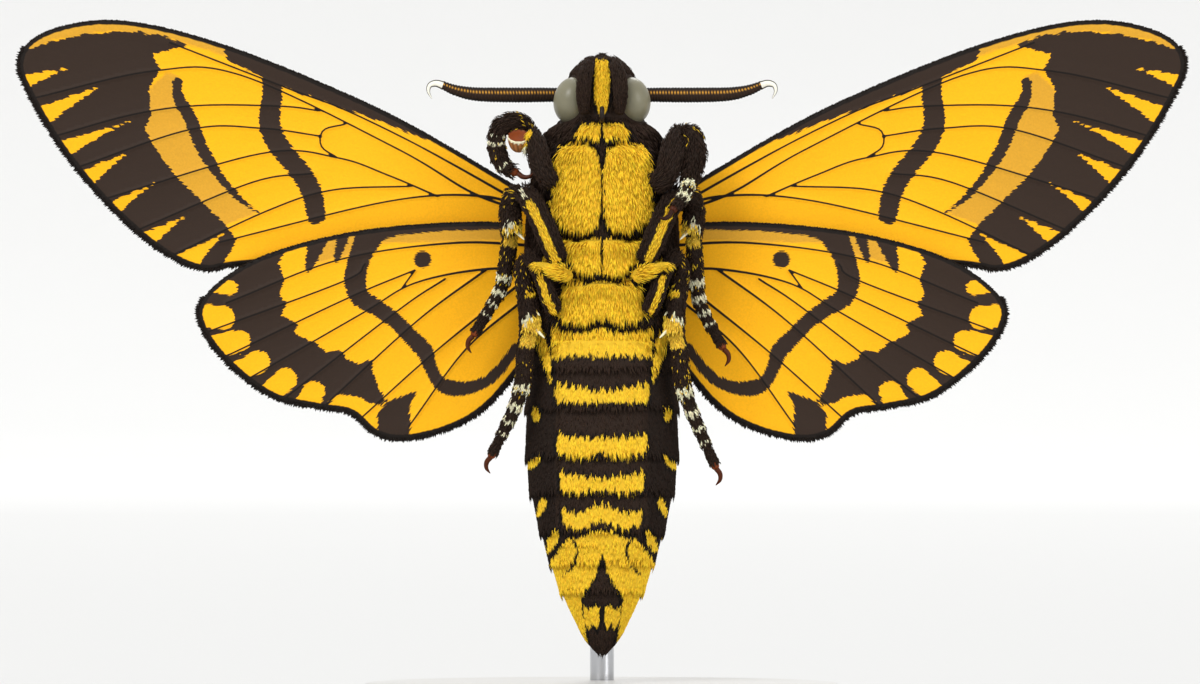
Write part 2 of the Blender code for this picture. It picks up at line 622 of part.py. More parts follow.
def wing(kind, name, side, outline, veins):
    """A wing: a thin closed sheet whose veins are ridges raised in its own surface."""
    edge = through([*outline, outline[0]], WING_EDGE_POINTS)[:-1]
    lines = vein_lines(veins, VEIN_STEP)
    points, edges = [*edge], [(i, (i + 1) % len(edge)) for i in range(len(edge))]
    for line in lines:
        for strand in (line, *flanks(line, VEIN_HALF_WIDTH)):
            edges += [(len(points) + i, len(points) + i + 1) for i in range(len(strand) - 1)]
            points += [*strand]
    flat, _, faces, *_ = geometry.delaunay_2d_cdt(
        [Vector(p) for p in points], edges, [list(range(len(edge)))], 1, 1e-4
    )
    spots = np.array([[p.x, p.y] for p in flat])
    rise = np.zeros(len(spots))
    for line in lines:
        rise = np.maximum(rise, 1 - segment_distances(spots, line) / VEIN_HALF_WIDTH)
    to_edge = segment_distances(spots, np.vstack([edge, edge[:1]]))
    rise = np.clip(rise, 0, 1) * np.clip(to_edge / VEIN_FADE, 0, 1)
    bm = bmesh.new()
    height = bm.verts.layers.float.new("rise")
    corners = [bm.verts.new((x, 0.0, z)) for x, z in spots]
    for corner, value in zip(corners, rise):
        corner[height] = value
    for face in faces:
        bm.faces.new([corners[i] for i in face])
    front = list(bm.verts)
    made = bmesh.ops.extrude_face_region(bm, geom=list(bm.faces), use_keep_orig=True)["geom"]
    back = [item for item in made if isinstance(item, bmesh.types.BMVert)]
    for group, sign, ridge in ((front, -1, VEIN_RISE_FRONT), (back, 1, VEIN_RISE_BACK)):
        for v in group:
            x, z = v.co.x, v.co.z
            y = wing_y(kind, x, z) + sign * (MEMBRANE / 2 + ridge * v[height])
            v.co = place(x * side, y, z)
    bmesh.ops.recalc_face_normals(bm, faces=bm.faces)
    solid = node(f"{kind}_{name}", bm, YELLOW)
    return boolean(solid, [*trunk_clearance(WING_GAP), shoulder_clearance(side)], "DIFFERENCE")


def shoulder_clearance(side):
    """The shoulder grown by the gap."""
    size = [s + GAP for s in SHOULDER["size"]]
    centre = (SHOULDER["x"] * side, SHOULDER["y"], SHOULDER["z"])
    return node("clearance", ellipsoid(centre, size, -SHOULDER["lean"] * side), DARK)


def leg_row(leg, name, part):
    """The points and radii of one part of a leg, which may be the same on both sides."""
    return LEGS.get((leg, name, part)) or LEGS[(leg, "both", part)]


def leg_path(row, side, count):
    """The part's centre line in millimetres and its radius at each point."""
    points, radii = row
    solid = []
    for (x, z, extra), radius in zip(points, radii):
        solid.append((x * side, beside_trunk(x, z, radius, extra), z, radius))
    run = through(solid, count)
    return run[:, :3], run[:, 3]


def stepped(path, radii, joints):
    """The radii of a foot whose tarsomeres each widen towards their lower end."""
    share = np.linspace(0, 1, len(path))
    edges = (0.0, *joints, 1.0)
    out = radii.copy()
    for low, high in zip(edges, edges[1:]):
        inside = (share > low) & (share <= high)
        out[inside] += TARSOMERE_STEP * ((share[inside] - low) / (high - low) - 0.5)
    return out


def claws(path, side):
    """The pretarsus and its two claws at the end of a foot."""
    end, before = Vector(path[-1]), Vector(path[-3])
    along = (end - before).normalized()
    across = Vector((along.z, 0, -along.x)) * side
    if across.x * side > 0:
        across = -across
    spots = [end + along * reach for reach in PRETARSUS_REACH]
    made = [tube(spots, [PRETARSUS_RADIUS] * len(spots), FINE_SIDES)]
    root = end + along * CLAW_ROOT
    for spread in (-CLAW_SPREAD, CLAW_SPREAD):
        points = [root - across * a + along * b + Vector((0, spread, 0)) for a, b in CLAW_CURL]
        made.append(tube(through(points, CLAW_POINTS), evenly(CLAW_RADII, CLAW_POINTS), FINE_SIDES))
    return [node("claw", bm, RED_BROWN) for bm in made]


def spurs(leg, path, side):
    """The pale spurs of a tibia, which point inwards and down beside the foot."""
    made = []
    inwards, forwards, down = SPUR_WAY
    for share, length in SPURS.get(leg, ()):
        root = Vector(path[round(share * (len(path) - 1))])
        tip = root + Vector((inwards * side, forwards, down)) * (length + SPUR_ROOT)
        spots = [root, root.lerp(tip, SPUR_BEND), tip]
        made.append(node("spur", tube(spots, SPUR_RADII, FINE_SIDES), WHITE))
    return made


def grown_tube(path, radii, extra):
    """The same limb, thicker and a little longer at both ends, as a cutter."""
    first, last = Vector(path[0]), Vector(path[-1])
    before = first + (first - Vector(path[1])).normalized() * extra
    after = last + (last - Vector(path[-2])).normalized() * extra
    points = [before, *path, after]
    thick = [radii[0] + extra, *(radii + extra), radii[-1] + extra]
    return node("clearance", tube(points, thick), DARK)


def make_leg(leg, name):
    """Femur, tibia and foot of one leg, each cut clear of what carries it."""
    side = SIDES[name]
    femur_path, femur_radii = leg_path(leg_row(leg, name, "femur"), side, LEG_POINTS["femur"])
    femur = node(f"{leg}_{name}_femur", tube(femur_path, femur_radii), DARK)
    boolean(femur, [*trunk_clearance(), *thorax_lobes(GAP)], "DIFFERENCE")

    tibia_path, tibia_radii = leg_path(leg_row(leg, name, "tibia"), side, LEG_POINTS["tibia"])
    tibia = node(f"{leg}_{name}_tibia", tube(tibia_path, tibia_radii), DARK)
    extras = spurs(leg, tibia_path, side)
    if (leg, name) == ("foreleg", "right"):
        centre = (PAD["centre"][0] * side, *PAD["centre"][1:])
        extras.append(node("pad", ellipsoid(centre, PAD["size"], PAD["tilt"]), RED_BROWN))
    boolean(tibia, extras, "UNION")
    boolean(tibia, [grown_tube(femur_path, femur_radii, GAP)], "DIFFERENCE")

    foot_path, foot_radii = leg_path(leg_row(leg, name, "tarsus"), side, LEG_POINTS["tarsus"])
    foot_radii = stepped(foot_path, foot_radii, TARSOMERES[leg])
    foot = node(f"{leg}_{name}_tarsus", tube(foot_path, foot_radii), DARK)
    boolean(foot, claws(foot_path, side), "UNION")
    boolean(foot, [grown_tube(tibia_path, tibia_radii, GAP)], "DIFFERENCE")


def make_stand():
    """A round base and one bent rod that meets the back of the thorax."""
    bm = bmesh.new()
    made = bmesh.ops.create_cone(
        bm,
        cap_ends=True,
        segments=BASE_SIDES,
        radius1=BASE_RADIUS * MM,
        radius2=BASE_RADIUS * MM,
        depth=BASE_HEIGHT * MM,
    )
    bmesh.ops.translate(bm, vec=(0, 0, BASE_HEIGHT / 2 * MM), verts=made["verts"])
    rim = [e for e in bm.edges if all(v.co.z > BASE_HEIGHT / 2 * MM for v in e.verts)]
    bmesh.ops.bevel(
        bm,
        geom=rim,
        offset=BASE_EDGE * MM,
        segments=2,
        profile=0.5,
        affect="EDGES",
        material=-1,
    )
    node("stand_base", bm, WHITE, BASE_ROUGHNESS)
    start = BASE_HEIGHT + GAP - LIFT
    straight = [(0.0, ROD_BACK, z) for z in np.linspace(start, ROD_BEND, ROD_STRAIGHT_POINTS)]
    radius = ROD_END - ROD_BEND
    arc = [
        (0.0, ROD_BACK - radius * (1 - math.cos(t)), ROD_BEND + radius * math.sin(t))
        for t in np.linspace(0, math.pi / 2, ROD_BEND_POINTS)[1:]
    ]
    path = [*straight, *arc]
    steel = tube(path, [ROD_RADIUS] * len(path), ROD_SIDES)
    rod = node("stand_rod", steel, STEEL, STEEL_ROUGHNESS, 1.0)
    boolean(rod, trunk_clearance(), "DIFFERENCE")


def main():
    """The stand first, then the trunk, the head, the wings and the legs."""
    for thing in list(bpy.data.objects):
        bpy.data.objects.remove(thing)
    make_stand()
    make_thorax()
    make_abdomen()
    make_head()
    for name, side in SIDES.items():
        wing("forewing", name, side, FOREWING_OUTLINE, FOREWING_VEINS)
        wing("hindwing", name, side, HINDWING_OUTLINE, HINDWING_VEINS)
        for leg in ("foreleg", "midleg", "hindleg"):
            make_leg(leg, name)
    for thing in bpy.data.objects:
        thing.data.shade_smooth()
        thing.data.set_sharp_from_angle(angle=math.radians(CREASE_ANGLE))


main()
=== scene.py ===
import math

import bmesh
import bpy
import numpy as np
from bpy.props import FloatProperty, FloatVectorProperty, PointerProperty
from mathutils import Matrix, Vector, geometry


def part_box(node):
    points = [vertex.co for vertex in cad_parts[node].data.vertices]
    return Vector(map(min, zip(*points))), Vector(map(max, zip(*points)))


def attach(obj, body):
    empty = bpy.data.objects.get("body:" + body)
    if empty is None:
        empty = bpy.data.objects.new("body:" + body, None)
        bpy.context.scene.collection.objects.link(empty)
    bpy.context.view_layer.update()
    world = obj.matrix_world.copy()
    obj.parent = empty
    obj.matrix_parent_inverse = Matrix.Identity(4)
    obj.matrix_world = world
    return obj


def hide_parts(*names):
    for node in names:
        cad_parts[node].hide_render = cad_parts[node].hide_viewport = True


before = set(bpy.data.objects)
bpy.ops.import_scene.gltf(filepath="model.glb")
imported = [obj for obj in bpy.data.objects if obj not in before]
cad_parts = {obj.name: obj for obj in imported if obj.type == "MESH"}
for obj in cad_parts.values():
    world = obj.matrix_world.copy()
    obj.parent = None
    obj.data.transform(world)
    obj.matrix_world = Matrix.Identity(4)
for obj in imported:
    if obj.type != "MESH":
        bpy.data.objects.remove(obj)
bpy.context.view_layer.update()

bl_info = {
    "name": "Death's head hawkmoth",
    "version": (1, 0, 0),
    "blender": (4, 5, 0),
    "location": "View3D > Sidebar > Hawkmoth",
    "description": "Skin, coat, wings, legs and stand of a hawkmoth with its wings spread",
    "category": "Object",
}

# Sizes are in millimetres and heights are counted from the tip of the tail, whose place the frame gives.
# Left and right are the moth's own, so its left side is at +X, and its belly faces -Y.
MM = 0.001
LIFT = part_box("abdomen")[0].z / MM
SIDES = {"left": 1.0, "right": -1.0}
FULL_TURN = 2 * math.pi
CURVE_STEPS = 12  # between two given points of a smooth curve
FAR = 1e9
FORWARDS = np.array([0.0, -1.0, 0.0])
UPWARDS = np.array([0.0, 0.0, 1.0])
# Where the random draws of each coat start
BODY_SEED, FRINGE_SEED, LEG_SEED, PALP_SEED, PAD_SEED, LEAF_SEED, EYE_SEED = 7, 8, 9, 10, 11, 12, 13

# The body: height, half width, depth to the belly, depth to the back, out to the tips of the coat
BODY_ROWS = (
    (0.0, 0.9, 0.8, 0.8),
    (1.2, 2.0, 1.6, 1.7),
    (3.5, 3.35, 2.6, 2.8),
    (6.4, 4.7, 3.6, 3.8),
    (9.6, 5.85, 4.4, 4.7),
    (13.0, 6.85, 5.0, 5.4),
    (17.0, 7.75, 5.6, 6.0),
    (22.0, 8.05, 6.0, 6.4),
    (27.0, 7.9, 6.1, 6.5),
    (31.0, 7.75, 6.1, 6.5),
    (36.0, 7.8, 6.2, 7.2),
    (41.0, 7.75, 6.3, 7.9),
    (46.0, 7.3, 6.1, 7.7),
    (50.0, 6.5, 5.3, 6.6),
    (52.0, 5.5, 4.3, 5.0),
    (53.3, 4.5, 3.6, 3.9),
    (55.0, 4.3, 3.6, 3.3),
    (57.0, 3.9, 3.3, 3.0),
    (58.3, 3.0, 2.6, 2.3),
    (59.2, 1.9, 1.7, 1.5),
    (59.6, 1.0, 0.9, 0.8),
)
BODY_TOP = 59.6
WIDEST = 8.2  # just over the body's greatest half width
NECK = 53.2
WAIST = 31.0
COAT_DEPTH = 0.5  # from the coat's tips down to the skin
BODY_COATS = (  # piece, number of tufts, lower and upper end, side: belly -1, back 1
    ("coat_abdomen_belly", 16000, 0.4, WAIST + 0.3, -1),
    ("coat_abdomen_back", 15000, 0.4, WAIST + 0.3, 1),
    ("coat_thorax_belly", 19500, WAIST + 0.2, NECK, -1),
    ("coat_thorax_back", 17000, WAIST + 0.2, NECK, 1),
)
HEAD_TUFTS = 9000
TUFT_WIDTHS = (0.12, 0.15, 0.2)  # on head, thorax and abdomen
BACK_LENGTH = 1.3  # how much longer the tufts of the back are than the belly's
SMALL_COATS = {  # number of tufts, then the least and the greatest length, width and lift
    "pad": (260, (0.6, 1.1), (0.08, 0.14), (0.1, 0.4)),
    "leaf": (900, (0.6, 1.1), (0.1, 0.17), (0.03, 0.2)),
    "eye_rim": (520, (0.25, 0.42), (0.09, 0.14), (0.05, 0.25)),
    "palp": (1500, (0.45, 0.8), (0.1, 0.15), (0.05, 0.25)),
}
LEG_TUFTS = 168.0  # for one millimetre of a leg
FRINGE_STEP = 0.09  # between two scales of the wings' fringe
FRINGE_ROOT = 0.12  # how far inside the margin the scales grow
FRINGE_LENGTH, FRINGE_WIDTH = 0.55, 0.22
LINE_WIDTH = 0.3  # dark line round each yellow mark
FROSTING = 0.1  # share of pale hairs in the dark coat of the back
TIP_SHARE = 0.7  # share of a tuft's length at which its colour is read from the markings
TUFT_SHADING = (0.82, 0.3)  # a tuft's brightness at its root, and what its tip has on top
ROOT_SUNK = 0.08  # depth of a tuft's root in the skin, as a share of its length
TUFT_THICK = 0.35  # thickness of a tuft, as a share of its width
BAKE_PATCH = 0.0015  # size of one tuft's patch of the OFBake map
SKIN_PAINTED_SHADE = 0.75  # brightness of the body's skin under its coat, darker as painted shade where the skin shows between the tufts
LIMB_PAINTED_SHADE = 0.6  # brightness of the skin of legs, leaves and palps under their coats, darker as painted shade where the skin shows between the tufts
RING_EDGES = (28.4, 24.6, 19.8, 16.2, 12.3, 9.1, 6.3)  # rear edges of the abdomen's rings
RING_STEP = 0.22  # how far a ring's rear edge stands out

# Belly markings and plates of the left half: distance from the middle, height
COLLAR = ((0.12, 52.5), (0.9, 52.7), (2.0, 52.5), (2.9, 51.6), (2.5, 50.9), (1.4, 51.0), (0.3, 50.7))
BREAST = (
    (0.5, 49.9), (1.4, 50.6), (3.0, 50.7), (4.4, 50.2), (5.0, 48.9), (5.3, 46.6), (4.9, 44.9), (5.6, 44.6),
    (5.0, 43.0), (4.0, 41.95), (2.6, 41.5), (1.2, 41.7), (0.45, 42.2), (0.14, 44.0), (0.1, 47.6),
)
MIDDLE_PLATE = (
    (0.1, 41.0), (1.2, 41.15), (2.6, 40.95), (4.2, 41.35), (4.1, 40.0), (3.5, 38.6), (2.3, 37.6), (1.3, 37.3),
    (0.1, 37.6),
)
FLARE = (
    (6.7, 38.8), (5.6, 39.1), (4.5, 39.2), (3.7, 38.2), (2.7, 37.3), (1.6, 37.0), (3.0, 36.95), (4.9, 37.5),
)
HIND_PLATE = (
    (-1.0, 37.1), (1.6, 36.7), (4.0, 36.6), (4.3, 35.2), (4.0, 33.9), (5.0, 34.2), (5.6, 35.4), (6.2, 37.0),
    (6.8, 36.6), (6.3, 34.9), (5.2, 33.4), (3.6, 32.7), (1.8, 32.45), (0.4, 32.9), (-1.0, 32.9),
)
PLATE_RELIEF = (  # plate, rise, width of its rounded edge
    (BREAST, 0.75, 1.3), (MIDDLE_PLATE, 0.6, 1.0), (HIND_PLATE, 0.45, 1.0), (COLLAR, 0.5, 0.7),
)
FLARE_RELIEF = (0.45, 0.7)
BELLY_BANDS = (  # half width, then upper and lower heights at the middle, half way out and the end
    (5.1, (32.2, 31.6, 32.3), (29.5, 29.5, 29.2)),
    (4.7, (25.9, 26.4, 26.7), (24.9, 24.8, 24.8)),
    (4.55, (21.4, 21.4, 21.7), (19.5, 19.2, 19.8)),
    (4.25, (17.3, 17.6, 17.9), (16.0, 15.7, 16.0)),
    (4.0, (14.8, 13.8, 14.2), (13.0, 12.1, 12.8)),
)
BELLY_PLATE = (4.65, 0.3)  # half width of the belly's plates, rise
TAIL_PATCH = (
    (-1.0, 12.0), (0.0, 12.0), (1.2, 11.9), (2.4, 11.3), (3.2, 11.5), (4.2, 10.4), (5.3, 8.8), (5.3, 7.0),
    (4.6, 5.0), (3.8, 3.5), (2.7, 1.8), (1.9, 0.9), (1.2, 0.6), (-1.0, 0.6),
)
TAIL_SPEAR = (
    (-1.0, 9.9), (0.0, 9.9), (0.3, 8.8), (0.6, 7.7), (1.3, 6.5), (2.1, 5.35), (2.0, 4.3), (1.75, 3.0),
    (1.4, 0.5), (1.4, -1.0), (-1.0, -1.0),
)
TAIL_BLOB = (
    (0.3, 4.3), (0.7, 4.7), (1.3, 4.2), (1.85, 4.6), (1.75, 3.1), (1.3, 2.2), (0.9, 2.9), (0.5, 2.2),
    (0.25, 3.0),
)
# Strokes give a half width with each point
TAIL_FOLD = (
    (3.2, 11.4, 0.1), (2.5, 10.6, 0.12), (2.4, 10.0, 0.12), (2.75, 8.8, 0.12), (3.2, 8.2, 0.12),
    (3.9, 7.7, 0.1),
)
SIDE_STREAKS = (
    ((6.7, 23.9, 0.4), (6.6, 23.3, 0.35)),
    ((7.6, 18.3, 0.25), (6.9, 18.8, 0.4), (6.4, 19.2, 0.2)),
    ((6.45, 13.5, 0.15), (6.1, 14.4, 0.4), (5.8, 15.0, 0.3)),
    ((5.4, 10.0, 0.25), (5.0, 11.0, 0.5), (4.6, 11.8, 0.3)),
    ((6.1, 31.2, 0.55), (5.6, 29.0, 0.45), (5.15, 26.9, 0.1)),
)
SKULL = ((0.0, 49.3), (1.6, 49.0), (2.8, 47.6), (2.9, 45.9), (1.9, 44.6), (1.7, 42.6), (0.0, 42.2))
SKULL_EYE = (1.15, 46.1, 0.7)  # place and radius
SKULL_NOSE = (0.0, 44.9, 0.35)
SKULL_TINT = np.array([0.72, 0.56, 0.35])  # of the cream colour
BACK_STRIPE = (1.35, 0.85)  # the back's blue grey stripe: half width, share of each ring
SIDE_YELLOW = (1.5, 4.0, 0.1, 0.74)  # yellow of the back: inner edge, lower end, share of a ring from and to

# The wings: distance from the middle, height
FOREWING_OUTLINE = (
    (5.5, 44.6), (11.3, 48.2), (20.2, 53.3), (28.2, 57.0), (36.5, 60.3), (43.9, 62.5), (49.5, 63.25),
    (54.1, 62.65), (57.3, 61.2), (58.45, 59.0), (57.6, 56.3), (54.4, 50.8), (50.4, 45.8), (45.9, 41.5),
    (42.3, 39.1), (39.6, 38.3), (37.6, 38.6), (34.0, 39.0), (25.0, 40.1), (14.0, 41.5), (5.5, 41.8),
)
HINDWING_OUTLINE = (
    (5.5, 42.6), (12.0, 43.0), (20.2, 42.6), (27.0, 41.6), (33.4, 39.8), (37.4, 37.7), (40.1, 35.0),
    (40.0, 32.4), (37.4, 28.9), (33.0, 25.6), (28.4, 24.5), (25.1, 23.9), (22.7, 21.9), (20.0, 21.3),
    (15.9, 22.15), (12.2, 24.05), (8.8, 27.7), (5.5, 33.0),
)
FOREWING_VEINS = (
    ((6.5, 44.0), (14.6, 48.6), (20.0, 51.5), (26.1, 54.4), (31.2, 56.3), (43.3, 61.0)),
    ((6.5, 43.8), (12.7, 45.8), (20.6, 50.4), (36.1, 57.7), (45.0, 58.15), (57.2, 55.4)),
    ((28.3, 54.15), (32.0, 54.6), (40.2, 54.7), (47.0, 53.8), (55.0, 51.6)),
    ((25.8, 52.8), (27.9, 52.2), (28.1, 50.6), (26.5, 49.45)),
    ((28.1, 51.6), (34.0, 52.4), (41.2, 52.3), (52.6, 48.5)),
    ((16.5, 45.6), (21.3, 47.65), (26.5, 49.45), (34.0, 49.9), (50.0, 45.3)),
    ((28.9, 47.9), (35.0, 47.0), (46.6, 42.2)),
    ((19.2, 46.6), (27.1, 46.2), (33.5, 44.15), (43.0, 39.7)),
    ((6.5, 43.9), (12.0, 45.6), (21.3, 45.1), (38.3, 41.0)),
)
HINDWING_VEINS = (
    ((6.0, 40.6), (14.9, 40.9), (26.4, 39.2), (37.6, 34.9)),
    ((23.7, 38.8), (25.8, 37.1), (39.8, 31.9)),
    ((18.7, 38.2), (25.4, 35.4), (38.0, 29.4)),
    ((6.0, 38.0), (11.5, 38.3), (18.7, 36.9), (24.1, 33.8), (35.6, 27.2)),
    ((18.7, 38.2), (20.0, 36.4)),
    ((15.7, 37.3), (20.2, 34.3), (32.1, 25.1)),
    ((11.5, 38.3), (18.5, 33.1), (28.0, 24.4)),
    ((8.0, 37.0), (16.6, 30.1), (24.2, 23.3)),
    ((7.6, 35.4), (13.6, 30.3), (19.3, 22.6)),
)
WINGS = {
    "forewing": {"outline": FOREWING_OUTLINE, "veins": FOREWING_VEINS, "front": 3.6, "bow": (50.0, 0.0024)},
    "hindwing": {"outline": HINDWING_OUTLINE, "veins": HINDWING_VEINS, "front": 2.3, "bow": (41.5, 0.004)},
}
WING_SWEEP = 0.0009  # how fast the wings bend back towards the tips
WING_ROOT = {"forewing": (5.0, 43.4), "hindwing": (5.0, 40.0)}  # where the scales' rows spread from
ROOT_X = 7.5
MEMBRANE = 0.2
VEIN_HALF_WIDTH = 0.24
VEIN_RISE = {"under": 0.16, "upper": 0.08}
WING_STEP = 0.3  # spacing of the wing's mesh
ROW_STEP = 0.866  # from row to row of its triangles, in spacings
ROW_COUNT = 150.0  # rows of scales in one radian of the wing's fan
PLEAT = 0.12  # how far the membrane bulges between two veins

# Markings of the underside of the forewing
TIP_DARK = (
    (57.8, 60.3), (54.7, 61.2), (52.0, 61.8), (49.0, 62.1), (46.3, 62.1), (43.9, 61.7), (41.5, 60.7),
    (43.3, 60.3), (45.0, 59.8), (44.3, 58.3), (45.4, 56.4), (45.2, 53.8), (45.8, 52.4), (44.3, 49.7),
    (42.2, 47.1), (39.8, 44.8), (37.6, 42.6), (36.6, 41.2), (37.3, 39.9), (38.6, 38.0), (40.0, 36.0),
    (47.0, 38.0), (54.0, 45.0), (60.0, 54.0), (61.0, 59.0),
)
TIP_TEETH = (  # upper and lower corner at the margin, point
    ((57.8, 57.8), (57.3, 56.7), (53.3, 58.5)),
    ((56.3, 54.6), (55.3, 53.0), (50.5, 56.5)),
    ((54.3, 51.1), (53.3, 49.8), (47.8, 52.9)),
    ((52.0, 48.2), (50.9, 46.9), (47.6, 49.9)),
    ((49.4, 45.0), (48.4, 44.0), (45.0, 46.8)),
    ((46.0, 41.9), (44.8, 40.8), (42.1, 43.4)),
    ((42.7, 39.6), (40.5, 38.4), (38.1, 41.7)),
)
TOOTH_HOLLOW = 0.14  # how hollow the lower side of a tooth is
TOOTH_POINT = 0.08  # how much further its tip reaches
TOOTH_ROOT = 0.25  # how far it reaches out over the margin
POST_BAND = (
    (42.5, 57.0, 0.5), (42.4, 55.4, 0.55), (41.3, 53.5, 0.65), (40.1, 50.5, 0.6), (38.0, 47.2, 0.4),
    (36.0, 45.1, 0.25), (34.2, 43.8, 0.05),
)
OCHRE_ZONE = (
    (43.6, 58.0), (42.4, 57.6), (42.2, 55.0), (40.9, 52.1), (39.5, 49.4), (37.0, 46.2), (34.6, 43.9),
    (38.0, 42.6), (40.0, 44.8), (42.2, 47.1), (44.5, 49.7), (45.9, 52.4), (45.4, 56.4),
)
COSTAL_OCHRE = (
    (58.5, 59.5), (55.0, 61.3), (49.0, 62.2), (43.0, 61.3), (36.5, 59.3), (34.5, 60.5), (44.0, 64.0),
    (52.0, 65.0), (59.0, 62.0),
)
MEDIAN_BAND = (
    (33.2, 58.4, 0.9), (33.0, 56.4, 1.0), (33.3, 53.2, 1.05), (32.6, 51.0, 1.05), (31.0, 49.0, 1.0),
    (29.8, 47.4, 1.0), (29.0, 45.8, 1.0), (28.6, 43.7, 0.95),
)
COSTAL_DARK = (
    (37.8, 61.8), (28.2, 58.6), (20.2, 54.8), (15.5, 51.8), (16.6, 50.9), (17.8, 51.3), (21.5, 52.8),
    (24.4, 53.9), (26.1, 54.4), (28.2, 55.2), (31.2, 56.3), (34.5, 57.8), (37.5, 59.2), (37.9, 60.2),
)
# Markings of the underside of the hindwing
HIND_MEDIAN = (
    (23.2, 41.7, 1.4), (24.2, 39.6, 1.1), (24.7, 37.3, 1.1), (24.2, 35.5, 0.95), (22.5, 34.4, 0.8),
    (20.8, 33.2, 0.75), (19.2, 31.6, 0.8), (17.7, 30.0, 0.85), (17.2, 28.6, 0.65), (16.3, 26.9, 0.65),
    (15.1, 26.4, 0.8), (13.4, 26.4, 0.65), (11.5, 27.1, 0.55), (10.0, 28.5, 0.5), (8.6, 30.4, 0.5),
)
HIND_OUTER = (
    (31.3, 40.8), (32.4, 38.9), (31.7, 37.3), (32.3, 35.8), (31.6, 34.8), (32.1, 33.7), (30.4, 32.8),
    (30.8, 31.8), (28.8, 31.0), (27.6, 30.0), (26.1, 30.2), (25.6, 29.3), (24.4, 28.8), (22.9, 29.3),
    (23.0, 28.1), (22.3, 26.4), (21.7, 25.3), (22.0, 24.6), (23.4, 24.9), (24.0, 25.4), (25.2, 25.7),
    (26.5, 25.7), (27.3, 24.9), (27.6, 23.6), (30.0, 22.0), (40.0, 27.0), (43.0, 34.0), (40.0, 39.0),
    (34.0, 41.5),
)
HIND_TORNUS = (
    (18.5, 26.2), (19.3, 24.3), (19.1, 22.6), (19.6, 20.5), (22.4, 21.2), (22.5, 23.8), (21.5, 25.0),
)
HIND_LOBES = (  # outer end, inner end, half width
    ((40.0, 37.0), (37.2, 36.4), 0.75),
    ((41.5, 33.8), (37.9, 33.4), 1.15),
    ((40.5, 30.2), (36.3, 31.1), 1.1),
    ((38.0, 27.4), (34.3, 29.0), 1.1),
    ((34.2, 25.0), (31.6, 27.3), 1.1),
    ((30.4, 23.4), (28.8, 26.0), 1.1),
)
HIND_BARS = (
    ((28.4, 41.5, 1.05), (28.9, 39.7, 0.7), (29.4, 38.3, 0.3)),
    ((25.8, 41.9, 0.65), (26.55, 39.3, 0.3)),
)
HIND_BAR_OCHRE = ((29.0, 41.4), (29.4, 38.7), (25.4, 39.6), (24.2, 42.2))
HIND_COSTAL_DARK = ((24.4, 42.6), (9.8, 43.6), (9.8, 42.25), (15.9, 42.1), (20.2, 41.7), (22.5, 41.0))
HIND_COSTAL_OCHRE = ((22.7, 40.9), (22.0, 41.6), (15.9, 42.6), (9.8, 42.9), (9.8, 41.2), (16.0, 41.0))
DISCAL_SPOT = (17.95, 39.25, 0.85)  # place and radius
# Markings of the upper sides: distance from the wing's root, half width
UPPER_BLACK = ((7.5, 0.7), (12.6, 0.9), (17.5, 0.5), (27.6, 0.9), (31.8, 0.7), (38.6, 1.2), (46.5, 0.7))
UPPER_PALE = ((9.2, 0.12), (14.2, 0.2), (29.8, 0.16), (33.4, 0.22), (40.6, 0.28), (43.2, 0.14))
UPPER_DOT = (26.6, 51.4, 0.5)  # place and radius
UPPER_WIDER = 0.35  # how much wider the hindwing's bands are on its upper side
UPPER_CLEARING = 1.0  # width of the yellow round the place of the spot
NO_GOLD = 5.0  # depth that takes the ochre off

# The head
EYE_SHARE = (0.94, 0.97, 1.0)  # size as a share of the node's
EYE_FRONT = (0.62, -0.78)  # sideways and forwards, the way the eyes look
SOCKET_AT = (-0.3, 0.38)  # inwards and back from the eye's middle, in eye sizes
SOCKET_SIZE = 1.04
EYE_LEAN = 11.0  # degrees by which the eyes' tops lean inwards
FACE_STRIPE = (  # height, half width
    (53.6, 0.2), (54.0, 0.5), (55.3, 0.85), (57.5, 0.9), (58.8, 0.82), (59.3, 0.7),
)
FACE_RIDGE = (1.1, 0.35)  # half width, rise
PALP_PATH = ((1.75, -3.2, 53.6), (1.85, -3.75, 55.3), (1.75, -3.55, 57.2), (1.4, -2.7, 58.5))
PALP_RADII = (0.5, 0.72, 0.75, 0.55)
PALP_COAT = 0.1  # from the coat's tips down to the skin
FEELER_PATH = (
    (1.9, 2.0, 55.7), (5.5, 2.2, 55.72), (9.0, 1.9, 55.7), (12.6, 1.5, 55.78), (14.6, 1.3, 56.15),
    (15.9, 1.2, 56.65), (16.6, 1.15, 56.85), (17.2, 1.1, 56.65), (17.35, 1.05, 56.05), (17.0, 1.0, 55.3),
)
FEELER_RADII = (0.62, 0.68, 0.72, 0.74, 0.74, 0.72, 0.66, 0.5, 0.33, 0.04)
FEELER_RINGS = 46
COMB_ROW = (-0.46, -0.06)  # band of the feeler's front that carries the golden comb, from -1 at its top
HOOK_START = 0.835  # share of the feeler's length at which the pale hook starts
PALE_HALF = 0.66  # the hook's pale middle, as a share of its half width
PALE_HOOK = (0.4, 0.5)  # share of the cream colour and white
RING_RISE = 0.09  # how much wider a feeler's ring gets to its end
TONGUE_CENTRE = (-4.4, 53.75)  # y and height
TONGUE_START = (-2.9, -3.3)  # y of its first two points, in the face
TONGUE_OUTER = 0.8
TONGUE_TAPER = 0.62  # share of the coil's radius lost from its outer to its inner end
TONGUE_RADIUS = 0.24
TONGUE_TURNS = 1.2

